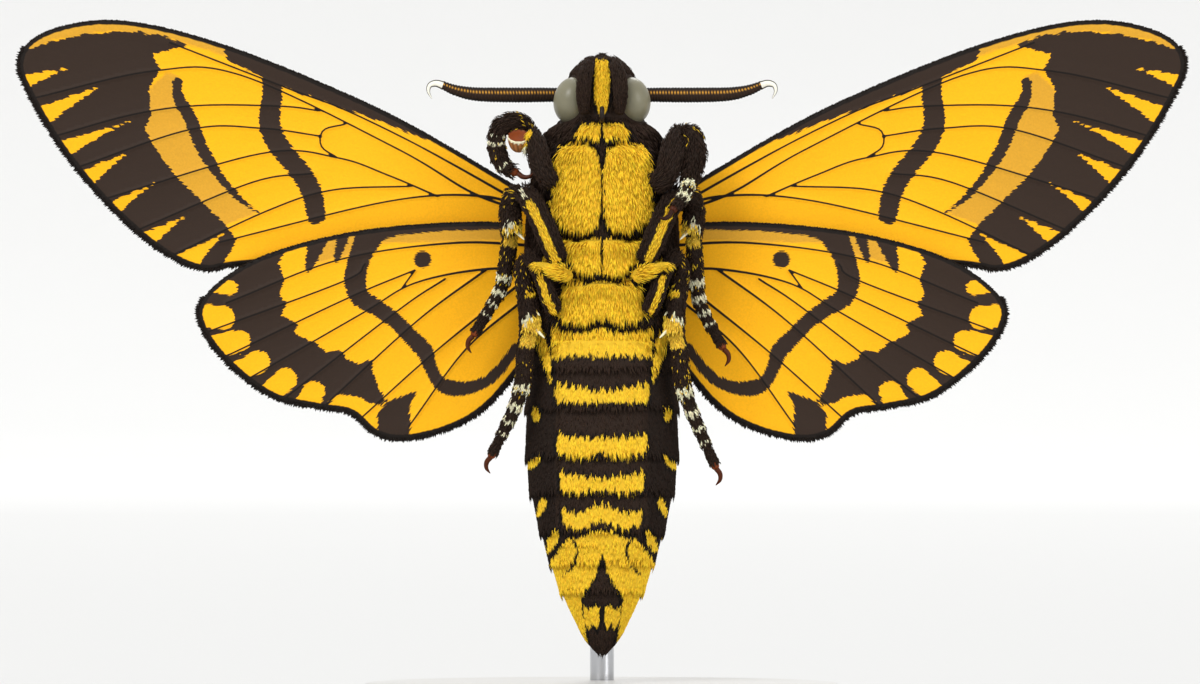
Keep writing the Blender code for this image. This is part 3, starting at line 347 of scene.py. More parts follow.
# The legs, as (x, height, extra distance from the body) with a radius for each point
LEGS = {
    ("foreleg", "left", "femur"): (
        ((4.9, 46.4, -1.4), (6.3, 47.5, -0.1), (6.85, 49.1, 0.0), (7.15, 50.5, 0.1), (7.8, 51.7, 0.4)),
        (0.95, 1.05, 1.1, 1.05, 0.95),
    ),
    ("foreleg", "left", "tibia"): (
        ((7.9, 51.3, 0.6), (8.8, 51.7, 1.8), (9.2, 50.2, 2.8), (9.1, 48.6, 3.8), (8.7, 47.2, 4.6)),
        (0.8, 1.1, 1.2, 1.1, 0.9),
    ),
    ("foreleg", "left", "tarsus"): (
        ((8.75, 47.4, 4.5), (8.4, 46.0, 4.6), (7.8, 45.0, 4.2), (7.2, 44.3, 3.9)),
        (0.72, 0.78, 0.7, 0.6),
    ),
    ("foreleg", "right", "femur"): (
        ((4.9, 46.6, -1.4), (5.6, 47.6, -0.2), (6.2, 49.0, 0.0), (6.6, 50.6, 0.1), (7.3, 51.8, 0.5)),
        (0.95, 1.0, 1.05, 1.0, 0.95),
    ),
    ("foreleg", "right", "tibia"): (
        ((7.2, 51.6, 0.4), (7.8, 52.6, 1.2), (8.9, 52.9, 2.0), (10.0, 52.5, 2.3), (10.5, 51.5, 2.3)),
        (0.8, 0.95, 0.98, 0.92, 0.8),
    ),
    ("foreleg", "right", "tarsus"): (
        ((10.4, 51.8, 2.4), (10.5, 50.5, 2.3), (10.2, 49.3, 2.2), (9.6, 48.4, 2.3), (8.8, 48.0, 2.6)),
        (0.7, 0.78, 0.75, 0.68, 0.58),
    ),
    ("midleg", "both", "femur"): (
        ((4.2, 38.9, -1.4), (5.1, 40.9, 0.0), (6.0, 43.0, 0.0), (7.0, 44.9, 0.0), (7.9, 46.0, 0.2)),
        (1.05, 1.15, 1.15, 1.1, 0.95),
    ),
    ("midleg", "both", "tibia"): (
        ((7.9, 45.8, 0.2), (8.8, 45.7, 1.9), (9.15, 44.3, 2.1), (9.1, 42.9, 2.0), (9.0, 41.8, 1.9)),
        (0.8, 1.0, 1.12, 1.12, 1.05),
    ),
    ("midleg", "left", "tarsus"): (
        ((9.05, 42.1, 1.9), (9.2, 40.4, 1.8), (9.35, 37.4, 1.7), (9.9, 34.5, 1.6), (11.9, 30.7, 1.3)),
        (0.85, 0.95, 0.85, 0.74, 0.55),
    ),
    ("midleg", "right", "tarsus"): (
        ((9.05, 42.1, 1.9), (9.3, 40.4, 1.8), (9.6, 38.4, 1.7), (10.2, 36.1, 1.6), (12.6, 32.0, 1.3)),
        (0.85, 0.95, 0.85, 0.74, 0.55),
    ),
    ("hindleg", "both", "femur"): (
        ((4.6, 33.9, -1.2), (5.3, 35.4, 0.0), (5.9, 37.3, 0.0), (6.8, 38.9, 0.0), (7.5, 39.6, 0.1)),
        (0.85, 0.85, 0.8, 0.75, 0.7),
    ),
    ("hindleg", "both", "tibia"): (
        ((7.5, 39.5, 0.1), (8.0, 38.4, 0.4), (7.75, 36.6, 0.2), (7.3, 34.3, 0.0), (7.15, 31.9, 0.0)),
        (0.62, 0.78, 0.9, 1.05, 1.1),
    ),
    ("hindleg", "left", "tarsus"): (
        ((7.2, 32.1, 0.0), (7.7, 30.4, 0.1), (8.0, 27.0, 0.3), (8.9, 24.2, 1.8), (11.2, 18.8, 2.4)),
        (0.9, 0.98, 0.88, 0.76, 0.55),
    ),
    ("hindleg", "right", "tarsus"): (
        ((7.2, 32.1, 0.0), (7.6, 30.6, 0.1), (7.9, 27.0, 0.3), (8.8, 24.2, 1.8), (10.9, 19.9, 2.4)),
        (0.9, 0.98, 0.88, 0.76, 0.55),
    ),
}
LEG_PARTS = {"femur": 24, "tibia": 24, "tarsus": 48}  # with the number of rings of their centre lines
LEG_CLEARANCE = 0.5  # from the body's coat
LEG_COAT = 0.14  # from the coat's tips down to the skin
LEG_HAIR = {"foot": 0.42, "foreleg": 0.8, "midleg": 0.62, "hindleg": 0.62, "width": 0.13}  # length, width
FLECK_SHARE = 0.07  # share of yellow tufts on the upper half of tibia and foot
SEGMENT_FLARE = 0.16  # how much wider a foot's segment gets to its end
TARSOMERES = {  # ends of the foot's segments, as shares of its length
    "foreleg": (0.3, 0.55, 0.78),
    "midleg": (0.47, 0.61, 0.72, 0.83),
    "hindleg": (0.47, 0.61, 0.73, 0.85),
}
FOOT_MARKS = {  # white marks of the feet: share of the foot's length, half length
    ("foreleg", "left"): ((0.3, 0.62), (0.68, 0.5)),
    ("foreleg", "right"): ((0.07, 0.15), (0.24, 0.14), (0.78, 0.08)),
    ("midleg", "left"): ((0.45, 0.45), (0.59, 0.4), (0.71, 0.22), (0.81, 0.1)),
    ("midleg", "right"): ((0.45, 0.42), (0.59, 0.38), (0.71, 0.2), (0.82, 0.14)),
    ("hindleg", "left"): ((0.45, 0.55), (0.6, 0.4), (0.72, 0.22), (0.83, 0.1)),
    ("hindleg", "right"): ((0.45, 0.5), (0.59, 0.4), (0.71, 0.26), (0.82, 0.16)),
}
KNEE_PATCH = {"midleg": (0.9, 0.15), "hindleg": (0.82, 0.13)}  # yellow: start on the tibia, end on the foot
KNEE_DOTS = ((0.92, 0.0), (0.84, 0.3))  # pale dots on the middle femurs: share of the length, place across
SHIN_RING = 0.55  # share of the hind tibia's length at which its yellow ring lies
THIGH_STRIPE = {"midleg": (0.08, 0.76), "hindleg": (0.08, 0.6)}  # yellow stripe of the femur: start, end
LEG_PLUMP = {("foreleg", "right", "tarsus"): 0.22, ("foreleg", "left", "femur"): 0.12}  # thicker skin
PRETARSUS_RADIUS = 0.42
DARK_FEET = (("foreleg", "left"),)  # feet with dark claws
CLAW_RADII = (0.28, 0.26, 0.2, 0.03)
CLAW_CURL = ((0.0, 0.0), (0.15, 0.65), (-0.1, 1.25), (-0.75, 1.6))  # across and along the foot
CLAW_SPREAD = 0.32  # how far a claw stands in front of or behind the foot's middle
SPURS = {"midleg": ((0.85, 1.5),), "hindleg": ((0.88, 1.8), (0.6, 1.2))}  # share of the tibia, length
SPUR_WAY = np.array([-0.8, -0.55, -0.8])  # inwards, forwards and down
SPUR_RADIUS = 0.24
PAD_CENTRE = np.array([-8.3, -3.5, 51.5])
PAD_TILT = 35.0  # degrees by which its top leans forwards
PAD_DISH, PAD_RIM = 0.7, 0.63  # shares of the profile at which the dish and its rim start
PAD_HAIR = ((-7.1, -3.85, 52.0), (-0.3, 0.2, -1.7), (-0.45, -0.25, -0.85))  # start, run and lie of the fringe
PAD_PROFILE = (  # radius, height from the rim
    (0.0, -1.75), (0.5, -1.65), (0.85, -1.25), (1.05, -0.65), (1.12, -0.08), (1.1, 0.05), (1.03, 0.06),
    (0.97, -0.03), (0.6, -0.12), (0.0, -0.14),
)
PAD_OUTSIDE = (172, 112, 62)  # its outside's colour
LEAF = {"centre": (4.75, -6.5, 38.15), "size": (2.0, 0.5, 0.62), "lean": 20.0, "turn": 10.0}  # in degrees

# The stand
BASE_RADIUS = (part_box("stand_base")[1].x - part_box("stand_base")[0].x) / 2 / MM
BASE_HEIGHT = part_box("stand_base")[1].z / MM
BASE_EDGE = 0.8  # width of its rounded rim
ROD_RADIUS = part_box("stand_rod")[1].x / MM
ROD_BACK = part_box("stand_rod")[1].y / MM - ROD_RADIUS
ROD_BEND = 35.5  # heights at which its bend starts and ends
ROD_END = 40.0
ROD_HIDDEN = 2.0  # how far its ends go into the base and the back

# Finishes: how fine the noise of each one is, in waves to the metre
HAIR_GRAIN, CLOUD_GRAIN, SCALE_GRAIN, EYE_GRAIN, FACETS = 2600.0, 90.0, 5200.0, 500.0, 9000.0
HAIR_ROUGHNESS, HORN_ROUGHNESS, TONGUE_ROUGHNESS = 0.7, 0.42, 0.35
SCALE_GLOSS = 0.16
ROUGH_SPREAD = 0.14  # how much the roughness of a hard part varies
VEIN_LINE = 0.085  # half width of a vein's dark line
MARGIN_LINE = 0.42  # width of the wings' dark margin

# The studio
FRAME_WIDTH = 120.0  # millimetres that the picture spans across the body
FRAME_MIDDLE = (-0.2, 31.0)
FOCAL_LENGTH = 400.0
PAPER_FLOOR = (209, 209, 208)
PAPER_WALL = (237, 237, 236)
# From here on in metres
PAPER_REACH = (1.6, 3.1)  # distances behind the moth between which the paper's tone changes
PAPER_SIZE = (-4.0, 3.0, 1.5, 5.0, 5.0)  # near end, start and radius of the curve, top, half width
MIDDLE = (0.0, 0.0, (LIFT + 32) * MM)
LAMPS = (  # place, aim, width, and the setting with its power
    ("key_light", (-1.6, -2.2, 2.1), MIDDLE, 1.8, "key"),
    ("fill_light", (2.2, -2.0, 0.9), MIDDLE, 2.0, "fill"),
    ("back_light", (0.3, 2.4, 2.0), MIDDLE, 1.6, "fill"),
    ("paper_light", (0.0, 1.2, 3.6), (0.0, 4.0, 0.8), 3.0, "fill"),
)


def shade(red, green, blue):
    """A colour given as screen values from 0 to 255, in the linear values that shaders take."""
    parts = np.array([red, green, blue]) / 255
    return tuple(np.where(parts <= 0.04045, parts / 12.92, ((parts + 0.055) / 1.055) ** 2.4))


def colour_property(name, description, *default):
    return FloatVectorProperty(
        name=name, description=description, subtype="COLOR", size=3, min=0.0, max=1.0, default=shade(*default)
    )


class HawkmothColours(bpy.types.PropertyGroup):
    """Colours of the moth's scales, hair and hard parts."""

    wing_yellow: colour_property("Wing yellow", "Ground colour of the wings' underside", 250, 183, 20)
    body_yellow: colour_property("Body yellow", "Yellow of the body's coat", 255, 206, 48)
    ochre: colour_property("Ochre", "Dull gold zones of the wings", 212, 156, 44)
    wing_dark: colour_property("Wing brown", "Dark bands of the wings", 50, 37, 29)
    body_dark: colour_property("Body brown", "Dark coat of body and legs", 48, 34, 25)
    line: colour_property("Vein line", "Veins and wing margins", 24, 18, 14)
    cream: colour_property("Cream", "Pale marks on the feet and the back", 252, 246, 208)
    upper: colour_property("Upper brown", "Ground colour of the forewings' upper side", 40, 30, 26)
    blue_grey: colour_property("Blue grey", "Stripe along the back of the abdomen", 96, 104, 118)
    eye: colour_property("Eye", "The compound eyes", 124, 120, 98)
    claw: colour_property("Claw", "Claws and pads", 122, 58, 26)
    feeler: colour_property("Feeler", "Comb of the feelers", 204, 146, 52)


class HawkmothCoat(bpy.types.PropertyGroup):
    """How dense and long the coat is."""

    density: FloatProperty(name="Density", description="Share of the number of tufts", default=1.0, min=0.05)
    length: FloatProperty(name="Length", description="Share of the tufts' length", default=1.0, min=0.1)


class HawkmothStudio(bpy.types.PropertyGroup):
    """Light of the studio."""

    key: FloatProperty(name="Key light", description="Power of the main light", default=62.0, unit="POWER")
    fill: FloatProperty(name="Fill light", description="Power of the others", default=26.0, unit="POWER")
    sky: FloatProperty(name="Room light", description="Strength of the light from all round", default=0.74)


def tones(*names):
    """Colours of the settings, as arrays."""
    colours = bpy.context.scene.hawkmoth_colours
    return [np.array(getattr(colours, name)) for name in names]


def place(x, y, z):
    """Points given in millimetres from the tail's tip, in metres above the floor."""
    return np.column_stack([np.asarray(x), np.asarray(y), np.asarray(z) + LIFT]) * MM


def unit(vectors):
    """The same vectors with a length of one."""
    return vectors / np.maximum(np.linalg.norm(vectors, axis=1, keepdims=True), 1e-12)


def through(points, count):
    """count points evenly spread along a smooth curve through the given ones."""
    p = np.array(points, float)
    ends = np.vstack([2 * p[0] - p[1], p, 2 * p[-1] - p[-2]])
    fine = []
    for i in range(1, len(ends) - 2):
        t = np.linspace(0, 1, CURVE_STEPS, endpoint=False)[:, None]
        a, b, c, d = ends[i - 1 : i + 3]
        fine.append(
            0.5 * (2 * b + (c - a) * t + (2 * a - 5 * b + 4 * c - d) * t**2 + (3 * b - a - 3 * c + d) * t**3)
        )
    fine = np.vstack(fine + [p[-1:]])
    run = np.concatenate([[0], np.cumsum(np.linalg.norm(np.diff(fine[:, :3], axis=0), axis=1))])
    wanted = np.linspace(0, run[-1], count)
    return np.column_stack([np.interp(wanted, run, column) for column in fine.T])


def length_of(points):
    return np.linalg.norm(np.diff(np.array(points, float), axis=0), axis=1).sum()


def closed(outline):
    """An outline with its first point again at its end."""
    return np.array([*outline, outline[0]], float)


def beside(line):
    """Directions of length one, at right angles to a flat line at each of its points."""
    along = np.gradient(line, axis=0)
    return np.column_stack([-along[:, 1], along[:, 0]]) / np.linalg.norm(along, axis=1)[:, None]


def body_at(z):
    """Half width, belly depth and back depth of the body's outline at heights, on a smooth curve."""
    rows = np.array(BODY_ROWS)
    z = np.clip(z, rows[0, 0], rows[-1, 0])
    slopes = np.gradient(rows[:, 1:], rows[:, 0], axis=0)
    i = np.clip(np.searchsorted(rows[:, 0], z, side="right") - 1, 0, len(rows) - 2)
    width = (rows[i + 1, 0] - rows[i, 0])[:, None]
    t = ((z - rows[i, 0])[:, None]) / width
    return (
        (2 * t**3 - 3 * t**2 + 1) * rows[i, 1:]
        + (t**3 - 2 * t**2 + t) * width * slopes[i]
        + (3 * t**2 - 2 * t**3) * rows[i + 1, 1:]
        + (t**3 - t**2) * width * slopes[i + 1]
    )


def line_distance(points, line):
    """The distance of each point from a line of straight pieces."""
    best = np.full(len(points), FAR)
    for a, b in zip(line, line[1:]):
        d = b - a
        t = np.clip(((points - a) @ d) / max(d @ d, 1e-12), 0, 1)
        best = np.minimum(best, np.linalg.norm(points - a - t[:, None] * d, axis=1))
    return best


def inside_depth(points, outline):
    """How deep each point lies inside a closed outline, below zero outside."""
    ring = closed(outline)
    inside = np.zeros(len(points), bool)
    x, z = points.T
    for (ax, az), (bx, bz) in zip(ring, ring[1:]):
        if az != bz:
            inside ^= ((az > z) != (bz > z)) & (x < (bx - ax) * (z - az) / (bz - az) + ax)
    return np.where(inside, 1.0, -1.0) * line_distance(points, ring)


def stroke_depth(points, stroke):
    """How deep each point lies inside a stroke, a line of (x, z, half width)."""
    s = np.array(stroke, float)
    best = np.full(len(points), -FAR)
    for a, b in zip(s, s[1:]):
        d = b[:2] - a[:2]
        t = np.clip(((points - a[:2]) @ d) / (d @ d), 0, 1)
        away = np.linalg.norm(points - a[:2] - t[:, None] * d, axis=1)
        best = np.maximum(best, a[2] + (b[2] - a[2]) * t - away)
    return best


def smooth_stroke(stroke):
    return through(stroke, max(6, int(length_of(np.array(stroke)[:, :2]) / 0.5)))


def tooth(upper, lower, tip):
    """A pointed tooth from the wing's margin inwards, as a closed outline with a hollow lower side."""
    upper, lower, tip = (np.array(p) for p in (upper, lower, tip))
    tip = tip + (tip - (upper + lower) / 2) * TOOTH_POINT
    outwards = ((upper + lower) / 2 - tip) * TOOTH_ROOT
    hollow = (lower + tip) / 2 + (upper - lower) * TOOTH_HOLLOW
    t = np.linspace(0, 1, 8)[:, None]
    lower_side = (1 - t) ** 2 * lower + 2 * t * (1 - t) * hollow + t**2 * tip
    return [upper + outwards, upper, *lower_side[::-1], lower + outwards]


def soft_min(*layers):
    return np.minimum.reduce(layers)


def soft_max(*layers):
    return np.maximum.reduce(layers)


def forewing_under(p):
    """Dark and ochre depths of the forewing's underside."""
    teeth = soft_max(*[inside_depth(p, tooth(*row)) for row in TIP_TEETH])
    tip = soft_min(inside_depth(p, TIP_DARK), -teeth)
    dark = soft_max(
        tip,
        stroke_depth(p, smooth_stroke(POST_BAND)),
        stroke_depth(p, smooth_stroke(MEDIAN_BAND)),
        inside_depth(p, COSTAL_DARK),
    )
    gold = soft_max(inside_depth(p, OCHRE_ZONE), inside_depth(p, COSTAL_OCHRE))
    return dark, gold


def hindwing_under(p):
    """Dark and ochre depths of the hindwing's underside."""
    lobes = soft_max(
        *[stroke_depth(p, ((*outer, half), (*inner, half))) for outer, inner, half in HIND_LOBES]
    )
    outer = soft_min(inside_depth(p, HIND_OUTER), -lobes)
    x, z, radius = DISCAL_SPOT
    spot = radius - np.hypot(p[:, 0] - x, p[:, 1] - z)
    dark = soft_max(
        outer,
        spot,
        stroke_depth(p, smooth_stroke(HIND_MEDIAN)),
        inside_depth(p, HIND_COSTAL_DARK),
        inside_depth(p, HIND_TORNUS),
        *[stroke_depth(p, bar) for bar in HIND_BARS],
    )
    gold = soft_max(inside_depth(p, HIND_COSTAL_OCHRE), inside_depth(p, HIND_BAR_OCHRE))
    return dark, gold


def forewing_upper(p):
    """Black and pale depths of the forewing's upper side: wavy lines across a mottled ground."""
    x, z = WING_ROOT["forewing"]
    reach = np.hypot(p[:, 0] - x, p[:, 1] - z)
    turn = np.arctan2(p[:, 1] - z, p[:, 0] - x)
    wave = 0.55 * np.sin(turn * 31) + 0.4 * np.sin(turn * 13 + 0.8) + 0.2 * np.sin(turn * 83 + 2.1)
    black = soft_max(*[half - np.abs(reach - at + wave) for at, half in UPPER_BLACK])
    pale = soft_max(*[half - np.abs(reach - at + wave * 1.15) for at, half in UPPER_PALE])
    x, z, radius = UPPER_DOT
    pale = soft_max(pale, radius - np.hypot(p[:, 0] - x, p[:, 1] - z))
    return soft_min(black, -pale), pale


def hindwing_upper(p):
    """Dark depth of the hindwing's upper side: two bands, the outer one broad and toothed."""
    dark, gold = hindwing_under(p)
    x, z, radius = DISCAL_SPOT
    spot = radius + UPPER_CLEARING - np.hypot(p[:, 0] - x, p[:, 1] - z)
    return soft_min(dark + UPPER_WIDER, -spot), gold - NO_GOLD


WING_MARKS = {
    ("forewing", "under"): forewing_under,
    ("forewing", "upper"): forewing_upper,
    ("hindwing", "under"): hindwing_under,
    ("hindwing", "upper"): hindwing_upper,
}


def wing_y(kind, x, z):
    """y of the middle of a wing's membrane at points of the wing."""
    fold, bend = WINGS[kind]["bow"]
    sweep = WING_SWEEP * np.maximum(np.abs(x) - ROOT_X, 0.0) ** 2
    return WINGS[kind]["front"] + sweep + bend * np.maximum(fold - z, 0.0) ** 1.5


def new_piece(name, mesh, slot, *materials, replaces=()):
    """Puts a finished mesh in the scene, riding on the frame."""
    piece = bpy.data.objects.new(name, mesh)
    bpy.context.scene.collection.objects.link(piece)
    for material in materials:
        mesh.materials.append(material)
    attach(piece, "root")
    if replaces:
        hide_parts(*replaces)
    return piece


def only_vertices(made):
    return [item for item in made if isinstance(item, bmesh.types.BMVert)]


def mesh_from(bm, name):
    """The finished mesh of a bmesh."""
    mesh = bpy.data.meshes.new(name)
    bm.to_mesh(mesh)
    bm.free()
    return mesh


def positions(mesh):
    found = np.empty(len(mesh.vertices) * 3)
    mesh.vertices.foreach_get("co", found)
    return found.reshape(-1, 3)


def set_positions(mesh, points):
    mesh.vertices.foreach_set("co", np.ascontiguousarray(points, dtype=np.float32).ravel())
    mesh.update()


def set_number(mesh, name, values):
    layer = mesh.attributes.new(name, "FLOAT", "POINT")
    layer.data.foreach_set("value", np.ascontiguousarray(values, dtype=np.float32))


def set_tint(mesh, colours):
    layer = mesh.attributes.new("tint", "FLOAT_COLOR", "POINT")
    rgba = np.column_stack([colours, np.ones(len(colours))])
    layer.data.foreach_set("color", np.ascontiguousarray(rgba, dtype=np.float32).ravel())


def outwards(mesh, seam=0.0):
    """Turns a mesh's faces outwards, and closes the seam and poles of a wrapped grid."""
    bm = bmesh.new()
    bm.from_mesh(mesh)
    if seam:
        bmesh.ops.remove_doubles(bm, verts=bm.verts, dist=seam)
        bmesh.ops.recalc_face_normals(bm, faces=bm.faces)
    if bm.calc_volume(signed=True) < 0:
        bmesh.ops.reverse_faces(bm, faces=bm.faces)
    bm.to_mesh(mesh)
    bm.free()
    mesh.shade_smooth()
    return mesh


def wrapped(name, around, along, surface):
    """A grid wrapped into a closed skin: surface(u, v) gives the points and their colours."""
    bm = bmesh.new()
    bmesh.ops.create_grid(bm, x_segments=around, y_segments=along, size=0.5)
    mesh = mesh_from(bm, name)
    u, v, _ = (positions(mesh) + 0.5).T
    points, colours = surface(u, v)
    set_positions(mesh, points)
    set_tint(mesh, colours)
    return outwards(mesh, seam=2e-7)


def joined(name, meshes):
    """One mesh of several, with their colours kept."""
    bm = bmesh.new()
    for mesh in meshes:
        bm.from_mesh(mesh)
        bpy.data.meshes.remove(mesh)
    mesh = mesh_from(bm, name)
    mesh.shade_smooth()
    return mesh


# Materials


def grain_group():
    """Fine mottling that coat, wings, eyes and stand share, as a mask."""
    group = bpy.data.node_groups.get("fine_grain")
    if group:
        return group
    group = bpy.data.node_groups.new("fine_grain", "ShaderNodeTree")
    face = group.interface
    face.new_socket("Place", in_out="INPUT", socket_type="NodeSocketVector")
    face.new_socket("Scale", in_out="INPUT", socket_type="NodeSocketFloat")
    face.new_socket("Mask", in_out="OUTPUT", socket_type="NodeSocketFloat")
    nodes, links = group.nodes, group.links
    start, end = nodes.new("NodeGroupInput"), nodes.new("NodeGroupOutput")
    noise = nodes.new("ShaderNodeTexNoise")
    noise.inputs["Detail"].default_value = 3.0
    links.new(start.outputs["Place"], noise.inputs["Vector"])
    links.new(start.outputs["Scale"], noise.inputs["Scale"])
    links.new(noise.outputs["Fac"], end.inputs["Mask"])
    return group


def ragged_group():
    """A marking's mask from its depth in millimetres, its edge broken up along the rows of scales."""
    group = bpy.data.node_groups.get("ragged_marking")
    if group:
        return group
    group = bpy.data.node_groups.new("ragged_marking", "ShaderNodeTree")
    face = group.interface
    for name in ("Depth", "Streak", "Raggedness", "Softness"):
        face.new_socket(name, in_out="INPUT", socket_type="NodeSocketFloat")
    face.new_socket("Mask", in_out="OUTPUT", socket_type="NodeSocketFloat")
    nodes, links = group.nodes, group.links
    start, end = nodes.new("NodeGroupInput"), nodes.new("NodeGroupOutput")
    centred = maths(nodes, links, "SUBTRACT", start.outputs["Streak"], 0.5)
    shift = maths(nodes, links, "MULTIPLY", centred, start.outputs["Raggedness"])
    moved = maths(nodes, links, "ADD", start.outputs["Depth"], shift)
    sharp = maths(nodes, links, "DIVIDE", moved, start.outputs["Softness"])
    mask = maths(nodes, links, "ADD", sharp, 0.5, clamp=True)
    links.new(mask, end.inputs["Mask"])
    return group


def maths(nodes, links, operation, *values, clamp=False):
    """A Math node's result, from numbers and other nodes' outputs."""
    node = nodes.new("ShaderNodeMath")
    node.operation = operation
    node.use_clamp = clamp
    for socket, value in zip(node.inputs, values):
        if isinstance(value, (int, float)):
            socket.default_value = value
        else:
            links.new(value, socket)
    return node.outputs["Value"]


def mixed(nodes, links, factor, first, second, blend="MIX"):
    """A mix of two colours, each given as a colour or another node's output."""
    node = nodes.new("ShaderNodeMix")
    node.data_type = "RGBA"
    node.blend_type = blend
    for name, kind, value in (("Factor", "VALUE", factor), ("A", "RGBA", first), ("B", "RGBA", second)):
        socket = next(s for s in node.inputs if s.name == name and s.type == kind)
        if isinstance(value, bpy.types.NodeSocket):
            links.new(value, socket)
        elif name == "Factor":
            socket.default_value = value
        else:
            socket.default_value = (*value, 1.0)
    return next(s for s in node.outputs if s.type == "RGBA")


def flecked(nodes, links, colour, mask, low, high):
    """A colour made darker and lighter by a mask."""
    light = mixed(nodes, links, mask, (low,) * 3, (high,) * 3)
    return mixed(nodes, links, 1.0, colour, light, "MULTIPLY")


def bumped(nodes, links, shader, height, strength, depth):
    """Relief of a depth in millimetres."""
    bump = nodes.new("ShaderNodeBump")
    bump.inputs["Strength"].default_value = strength
    bump.inputs["Distance"].default_value = depth * MM
    links.new(height, bump.inputs["Height"])
    links.new(bump.outputs["Normal"], shader.inputs["Normal"])


def object_place(nodes):
    return nodes.new("ShaderNodeTexCoord").outputs["Object"]


def attribute(nodes, name, output="Fac"):
    node = nodes.new("ShaderNodeAttribute")
    node.attribute_name = name
    return node.outputs[output]


def new_material(name, roughness, specular=0.4):
    """A material, with the parts that its pattern is built on."""
    material = bpy.data.materials.new(name)
    material.use_nodes = True
    nodes, links = material.node_tree.nodes, material.node_tree.links
    shader = nodes["Principled BSDF"]
    shader.inputs["Roughness"].default_value = roughness
    shader.inputs["Specular IOR Level"].default_value = specular
    return material, nodes, links, shader


def grain(nodes, links, place_socket, scale):
    """The mask of the shared fine grain."""
    node = nodes.new("ShaderNodeGroup")
    node.node_tree = grain_group()
    node.inputs["Scale"].default_value = scale
    links.new(place_socket, node.inputs["Place"])
    return node.outputs["Mask"]


def coat_material():
    """Scales and hair: the tint, which is the tuft's own colour with painted shade towards its root and on
    the skin between tufts, with fine streaks.
    """
    if "coat" in bpy.data.materials:
        return bpy.data.materials["coat"]
    material, nodes, links, shader = new_material("coat", HAIR_ROUGHNESS, SCALE_GLOSS)
    mask = grain(nodes, links, object_place(nodes), HAIR_GRAIN)
    colour = flecked(nodes, links, attribute(nodes, "tint", "Color"), mask, 0.8, 1.16)
    links.new(colour, shader.inputs["Base Color"])
    bumped(nodes, links, shader, mask, strength=0.3, depth=0.04)
    return material


def coat_variant(name, roughness=HAIR_ROUGHNESS):
    """The coat's material under another name, with its own finish."""
    if name in bpy.data.materials:
        return bpy.data.materials[name]
    material = coat_material().copy()
    material.name = name
    material.node_tree.nodes["Principled BSDF"].inputs["Roughness"].default_value = roughness
    return material


def wing_material(name, ground, dark, gold, mottle, clouding=1.0):
    """One face of a wing: ground, ochre and dark scales, vein lines and a dark margin.

    mottle times the ground gives its warmer patches, and clouding says how sharp their edges are.
    """
    (line,) = tones("line")
    material, nodes, links, shader = new_material(name, 0.6, SCALE_GLOSS)
    streak = grain(nodes, links, attribute(nodes, "rows", "Vector"), 1.0)
    place_socket = object_place(nodes)
    cloud = grain(nodes, links, place_socket, CLOUD_GRAIN)
    scales = grain(nodes, links, place_socket, SCALE_GRAIN)

    def mask(depth, raggedness, softness):
        node = nodes.new("ShaderNodeGroup")
        node.node_tree = ragged_group()
        node.inputs["Raggedness"].default_value = raggedness
        node.inputs["Softness"].default_value = softness
        links.new(depth, node.inputs["Depth"])
        links.new(streak, node.inputs["Streak"])
        return node.outputs["Mask"]

    patches = maths(nodes, links, "MULTIPLY_ADD", cloud, clouding, 0.5 - 0.5 * clouding, clamp=True)
    colour = mixed(nodes, links, patches, ground, ground * mottle)
    colour = mixed(nodes, links, mask(attribute(nodes, "gold"), 0.8, 0.3), colour, gold)
    colour = mixed(nodes, links, mask(attribute(nodes, "dark"), 0.85, 0.06), colour, dark)
    colour = flecked(nodes, links, colour, scales, 0.86, 1.14)
    vein = maths(nodes, links, "SUBTRACT", VEIN_LINE, attribute(nodes, "vein"))
    colour = mixed(nodes, links, mask(vein, 0.03, 0.06), colour, line)
    edge = maths(nodes, links, "SUBTRACT", MARGIN_LINE, attribute(nodes, "edge"))
    colour = mixed(nodes, links, mask(edge, 0.2, 0.1), colour, line)
    links.new(colour, shader.inputs["Base Color"])
    links.new(maths(nodes, links, "MULTIPLY_ADD", scales, 0.25, 0.48), shader.inputs["Roughness"])
    bumped(nodes, links, shader, streak, strength=0.35, depth=0.03)
    return material


def plain_material(name, colour, roughness, scale, contrast, metallic=0.0):
    """A smooth hard part with faint mottling."""
    material, nodes, links, shader = new_material(name, roughness)
    shader.inputs["Metallic"].default_value = metallic
    mask = grain(nodes, links, object_place(nodes), scale)
    low, high = (np.array(colour) * (1 + sign * contrast) for sign in (-1, 1))
    links.new(mixed(nodes, links, mask, low, high), shader.inputs["Base Color"])
    rough = maths(nodes, links, "MULTIPLY_ADD", mask, ROUGH_SPREAD, roughness - ROUGH_SPREAD / 2)
    links.new(rough, shader.inputs["Roughness"])
    return material


# The body's markings and relief


def belly_yellow(across, z):
    """Depth of the belly's yellow at a distance from the middle and a height."""
    p = np.column_stack([across, z])
    teeth = 0.2 * np.sin(across * 8.5 + z) + 0.1 * np.sin(across * 21)
    bands = np.full(len(z), -FAR)
    for half, upper, lower in BELLY_BANDS:
        top, bottom = (np.interp(across, (0, half * 0.6, half), heights) for heights in (upper, lower))
        bands = soft_max(bands, soft_min(top + teeth - z, z - bottom - teeth, half - across))
    tail = soft_min(inside_depth(p, TAIL_PATCH), -inside_depth(p, TAIL_SPEAR))
    tail = soft_min(soft_max(tail, inside_depth(p, TAIL_BLOB)), -stroke_depth(p, TAIL_FOLD))
    spots = soft_max(*[stroke_depth(p, streak) for streak in SIDE_STREAKS])
    plates = [inside_depth(p, shape) for shape in (COLLAR, BREAST, MIDDLE_PLATE, FLARE, HIND_PLATE)]
    return soft_max(*plates, bands, tail, spots)


def face_stripe(across, z):
    """Depth of the yellow stripe down the face."""
    heights, halves = np.array(FACE_STRIPE).T
    return np.interp(z, heights, halves, left=-1.0, right=-1.0) - across


